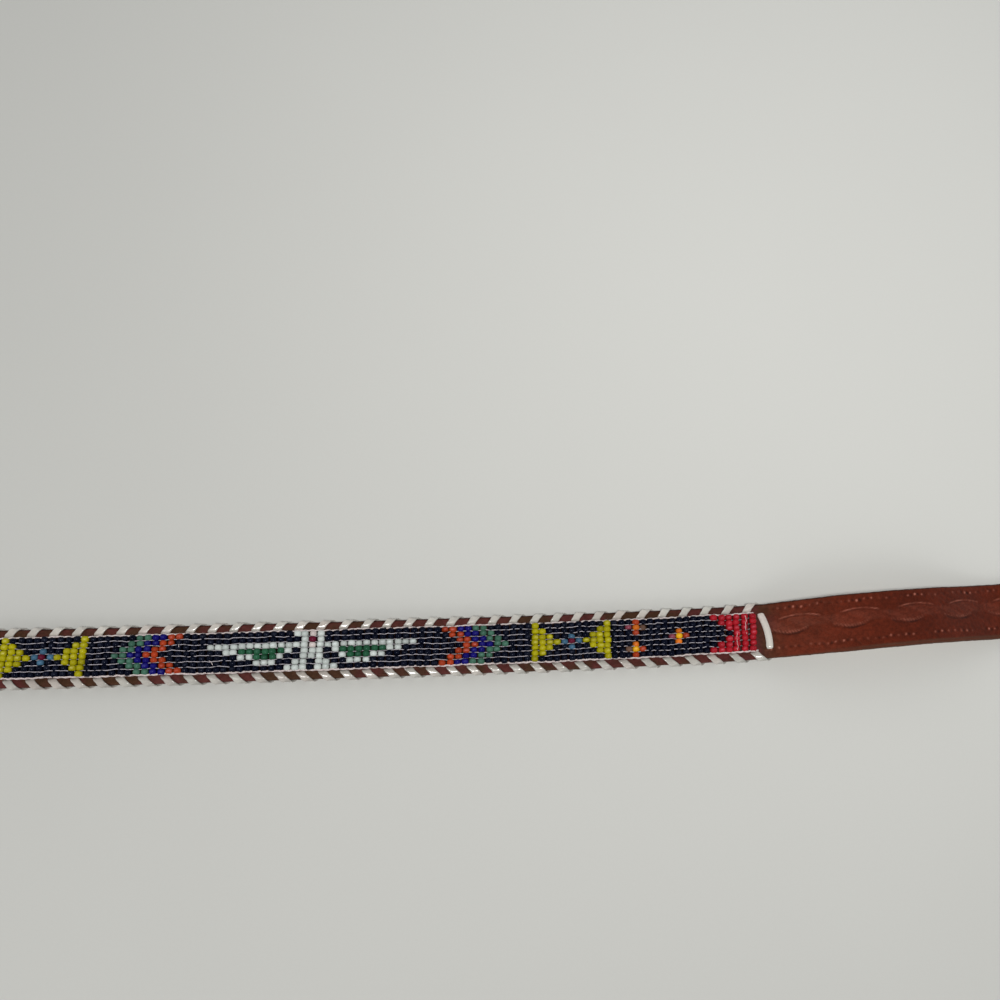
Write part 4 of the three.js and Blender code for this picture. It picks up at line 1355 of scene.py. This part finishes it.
def buckle_prong(path):
    """The prong with its curl round the bar."""
    radius = PRONG_DIAMETER / 2
    t = np.linspace(0, 1, 30)
    x = -(BUCKLE_REACH - BUCKLE_SIDE * 0.15) * t
    over_bar = BAR_SIZE / 2 * np.sin(math.pi / 2 * np.minimum(t * 3, 1))
    line = np.stack([x, 0 * t, over_bar + radius * 0.72 + 0.7 * MM * np.sin(math.pi * t)], -1)
    out = np.broadcast_to([0.0, 0.0, 1.0], line.shape)
    taper = radius * (1 - 0.35 * t) * np.sqrt(np.clip((1.0 - t) * 14 + 0.04, 0, 1))
    section = oval(16, 2.3)[None] * np.stack([taper, taper * 0.9], -1)[:, None]
    rod = sweep("prong_rod", line, out, section)
    angle = 2 * math.pi * np.arange(36) / 36
    round_bar = (BAR_SIZE / 2 + 0.55 * MM) * np.stack([np.cos(angle), 0 * angle, np.sin(angle)], -1)
    curl = sweep("prong_curl", round_bar, round_bar, oval(16, 3.4) * (radius, 0.55 * MM), ring=True)
    return laid_down(path, joined("buckle_prong", [rod, curl]))


def studio_sky():
    """Soft light from all round, brightest low down and dim straight overhead."""
    world = bpy.data.worlds.new("studio")
    world.use_nodes = True
    tree = world.node_tree
    direction = tree.nodes.new("ShaderNodeTexCoord").outputs["Generated"]
    split = tree.nodes.new("ShaderNodeSeparateXYZ")
    ramp = tree.nodes.new("ShaderNodeValToRGB")
    for position, _ in SKY_LEVELS[1:-1]:
        ramp.color_ramp.elements.new(position)
    for element, (position, level) in zip(ramp.color_ramp.elements, SKY_LEVELS):
        element.position = position
        element.color = (level * 0.97, level * 0.99, level, 1)
    background = tree.nodes["Background"]
    background.inputs["Strength"].default_value = SKY_STRENGTH
    tree.links.new(direction, split.inputs[0])
    tree.links.new(split.outputs["Z"], ramp.inputs[0])
    tree.links.new(ramp.outputs[0], background.inputs["Color"])
    return world


# Operators

class BeltOperator:
    """What the belt's operators share."""
    bl_options = {"REGISTER", "UNDO"}

    def path(self, context):
        return BeltPath(context.scene.belt_sizes)


class BELT_OT_stage(BeltOperator, Operator):
    """Sets the table top, the camera and the studio light"""
    bl_idname = "belt.stage"
    bl_label = "Stage"

    def execute(self, context):
        scene = context.scene
        camera = bpy.data.cameras.new("camera")
        camera.lens = CAMERA_LENS
        camera.sensor_width = 36
        camera.clip_start = 0.01
        eye = bpy.data.objects.new("camera", camera)
        eye.location = CAMERA_PLACE
        eye.rotation_euler = tuple(math.radians(degrees) for degrees in CAMERA_TURN)
        scene.collection.objects.link(eye)
        scene.camera = eye
        scene.view_settings.view_transform = "Standard"

        bm = bmesh.new()
        bmesh.ops.create_grid(bm, x_segments=8, y_segments=8, size=4.0)
        bmesh.ops.translate(bm, vec=(0, 0, -0.15 * MM), verts=bm.verts)
        floor = bpy.data.objects.new("table_top", finished(bm, bpy.data.meshes.new("table_top")))
        scene.collection.objects.link(floor)
        floor.data.materials.append(floor_finish(scene.belt_colours.floor))

        scene.world = studio_sky()
        for lamp in LIGHTS:
            light = bpy.data.lights.new(lamp["name"], "AREA")
            light.shape = "DISK"
            light.size = lamp["size"]
            light.energy = lamp["power"]
            light.color = lamp["colour"]
            stand = bpy.data.objects.new(lamp["name"], light)
            stand.location = lamp["place"]
            aim = Vector(LIGHT_TARGET) - Vector(lamp["place"])
            stand.rotation_euler = aim.to_track_quat("-Z", "Y").to_euler()
            scene.collection.objects.link(stand)
        return {"FINISHED"}


class BELT_OT_beads(BeltOperator, Operator):
    """Strings the panel of beads, one mesh for each colour"""
    bl_idname = "belt.beads"
    bl_label = "Beads"

    def execute(self, context):
        path = self.path(context)
        chart = bead_chart()
        for colour, glass in BEAD_COLOURS.items():
            beads = sorted(place for place, own in chart.items() if own == colour)
            mesh = bead_field(f"beads_{colour}", path, beads, PLUMP_BEADS.get(colour, 1.0))
            add_piece(mesh, glass_finish(f"glass_{colour}", glass), "seed_beads", "bead_panel")
        return {"FINISHED"}


class BELT_OT_threads(BeltOperator, Operator):
    """Lays the warp, the selvages, the weft loops and a few loose ends"""
    bl_idname = "belt.threads"
    bl_label = "Threads"

    def execute(self, context):
        path = self.path(context)
        colours = context.scene.belt_colours
        warp = thread_finish("grey_lilac_thread", colours.thread)
        selvage = thread_finish("pale_thread", colours.selvage)
        add_piece(warp_threads(path), warp, "seed_beads", "bead_panel")
        for threads in (selvage_threads, weft_threads, stray_threads):
            add_piece(threads(path), selvage, "seed_beads", "bead_panel")
        return {"FINISHED"}


class BELT_OT_laces(BeltOperator, Operator):
    """Winds the white laces round both edges and across both ends"""
    bl_idname = "belt.laces"
    bl_label = "Laces"

    def execute(self, context):
        path = self.path(context)
        vinyl = lace_finish(context.scene.belt_colours.lace)
        add_piece(edge_lace("lace_far_edge", path, 1, FAR_TURNS), vinyl, "white_lace", "lacing_far")
        add_piece(edge_lace("lace_near_edge", path, -1, NEAR_TURNS), vinyl, "white_lace", "lacing_near")
        add_piece(end_lace("lace_right_end", path, 1), vinyl, "white_lace", "end_lace_right")
        add_piece(end_lace("lace_left_end", path, -1), vinyl, "white_lace", "end_lace_left")
        return {"FINISHED"}


class BELT_OT_leather(BeltOperator, Operator):
    """Makes the tooled strap, its holes and the keeper"""
    bl_idname = "belt.leather"
    bl_label = "Leather"

    def execute(self, context):
        path = self.path(context)
        colours = context.scene.belt_colours
        leather = leather_finish(colours)
        strap = add_piece(strap_mesh(path), leather, "strap_leather", "strap")
        holes = [punch(path, path.tip - LAST_HOLE_TO_TIP - k * HOLE_SPACING, HOLE_DIAMETER)
                 for k in range(HOLE_COUNT)]
        cut_away(strap, holes + [prong_slot(path)])
        add_piece(keeper_mesh(path), leather, "strap_leather", "keeper_loop")
        add_piece(flap_stitches(path), thread_finish("tan_thread", colours.stitch), "strap_leather")
        return {"FINISHED"}


class BELT_OT_buckle(BeltOperator, Operator):
    """Makes the brass buckle and its prong"""
    bl_idname = "belt.buckle"
    bl_label = "Buckle"

    def execute(self, context):
        path = self.path(context)
        brass = brass_finish(context.scene.belt_colours.brass)
        add_piece(buckle_ring(path), brass, "buckle_metal", "buckle")
        add_piece(buckle_prong(path), brass, "buckle_metal", "buckle")
        return {"FINISHED"}


class BELT_PT_panel(Panel):
    """Lists the belt's sizes, colours and steps"""
    bl_idname = "BELT_PT_panel"
    bl_label = "Beaded Belt"
    bl_space_type = "VIEW_3D"
    bl_region_type = "UI"
    bl_category = "Belt"

    def draw(self, context):
        layout = self.layout
        for group in (context.scene.belt_sizes, context.scene.belt_colours):
            for name in group.__annotations__:
                layout.prop(group, name)
        for operator in OPERATORS:
            layout.operator(operator.bl_idname)


OPERATORS = (BELT_OT_stage, BELT_OT_beads, BELT_OT_threads, BELT_OT_laces, BELT_OT_leather, BELT_OT_buckle)
CLASSES = (BeltSizes, BeltColours, *OPERATORS, BELT_PT_panel)


def register():
    for item in CLASSES:
        bpy.utils.register_class(item)
    bpy.types.Scene.belt_sizes = PointerProperty(type=BeltSizes)
    bpy.types.Scene.belt_colours = PointerProperty(type=BeltColours)


def unregister():
    del bpy.types.Scene.belt_colours
    del bpy.types.Scene.belt_sizes
    for item in reversed(CLASSES):
        bpy.utils.unregister_class(item)


def main():
    register()
    bpy.ops.belt.stage()
    bpy.ops.belt.beads()
    bpy.ops.belt.threads()
    bpy.ops.belt.laces()
    bpy.ops.belt.leather()
    bpy.ops.belt.buckle()


if __name__ == "__main__":
    main()
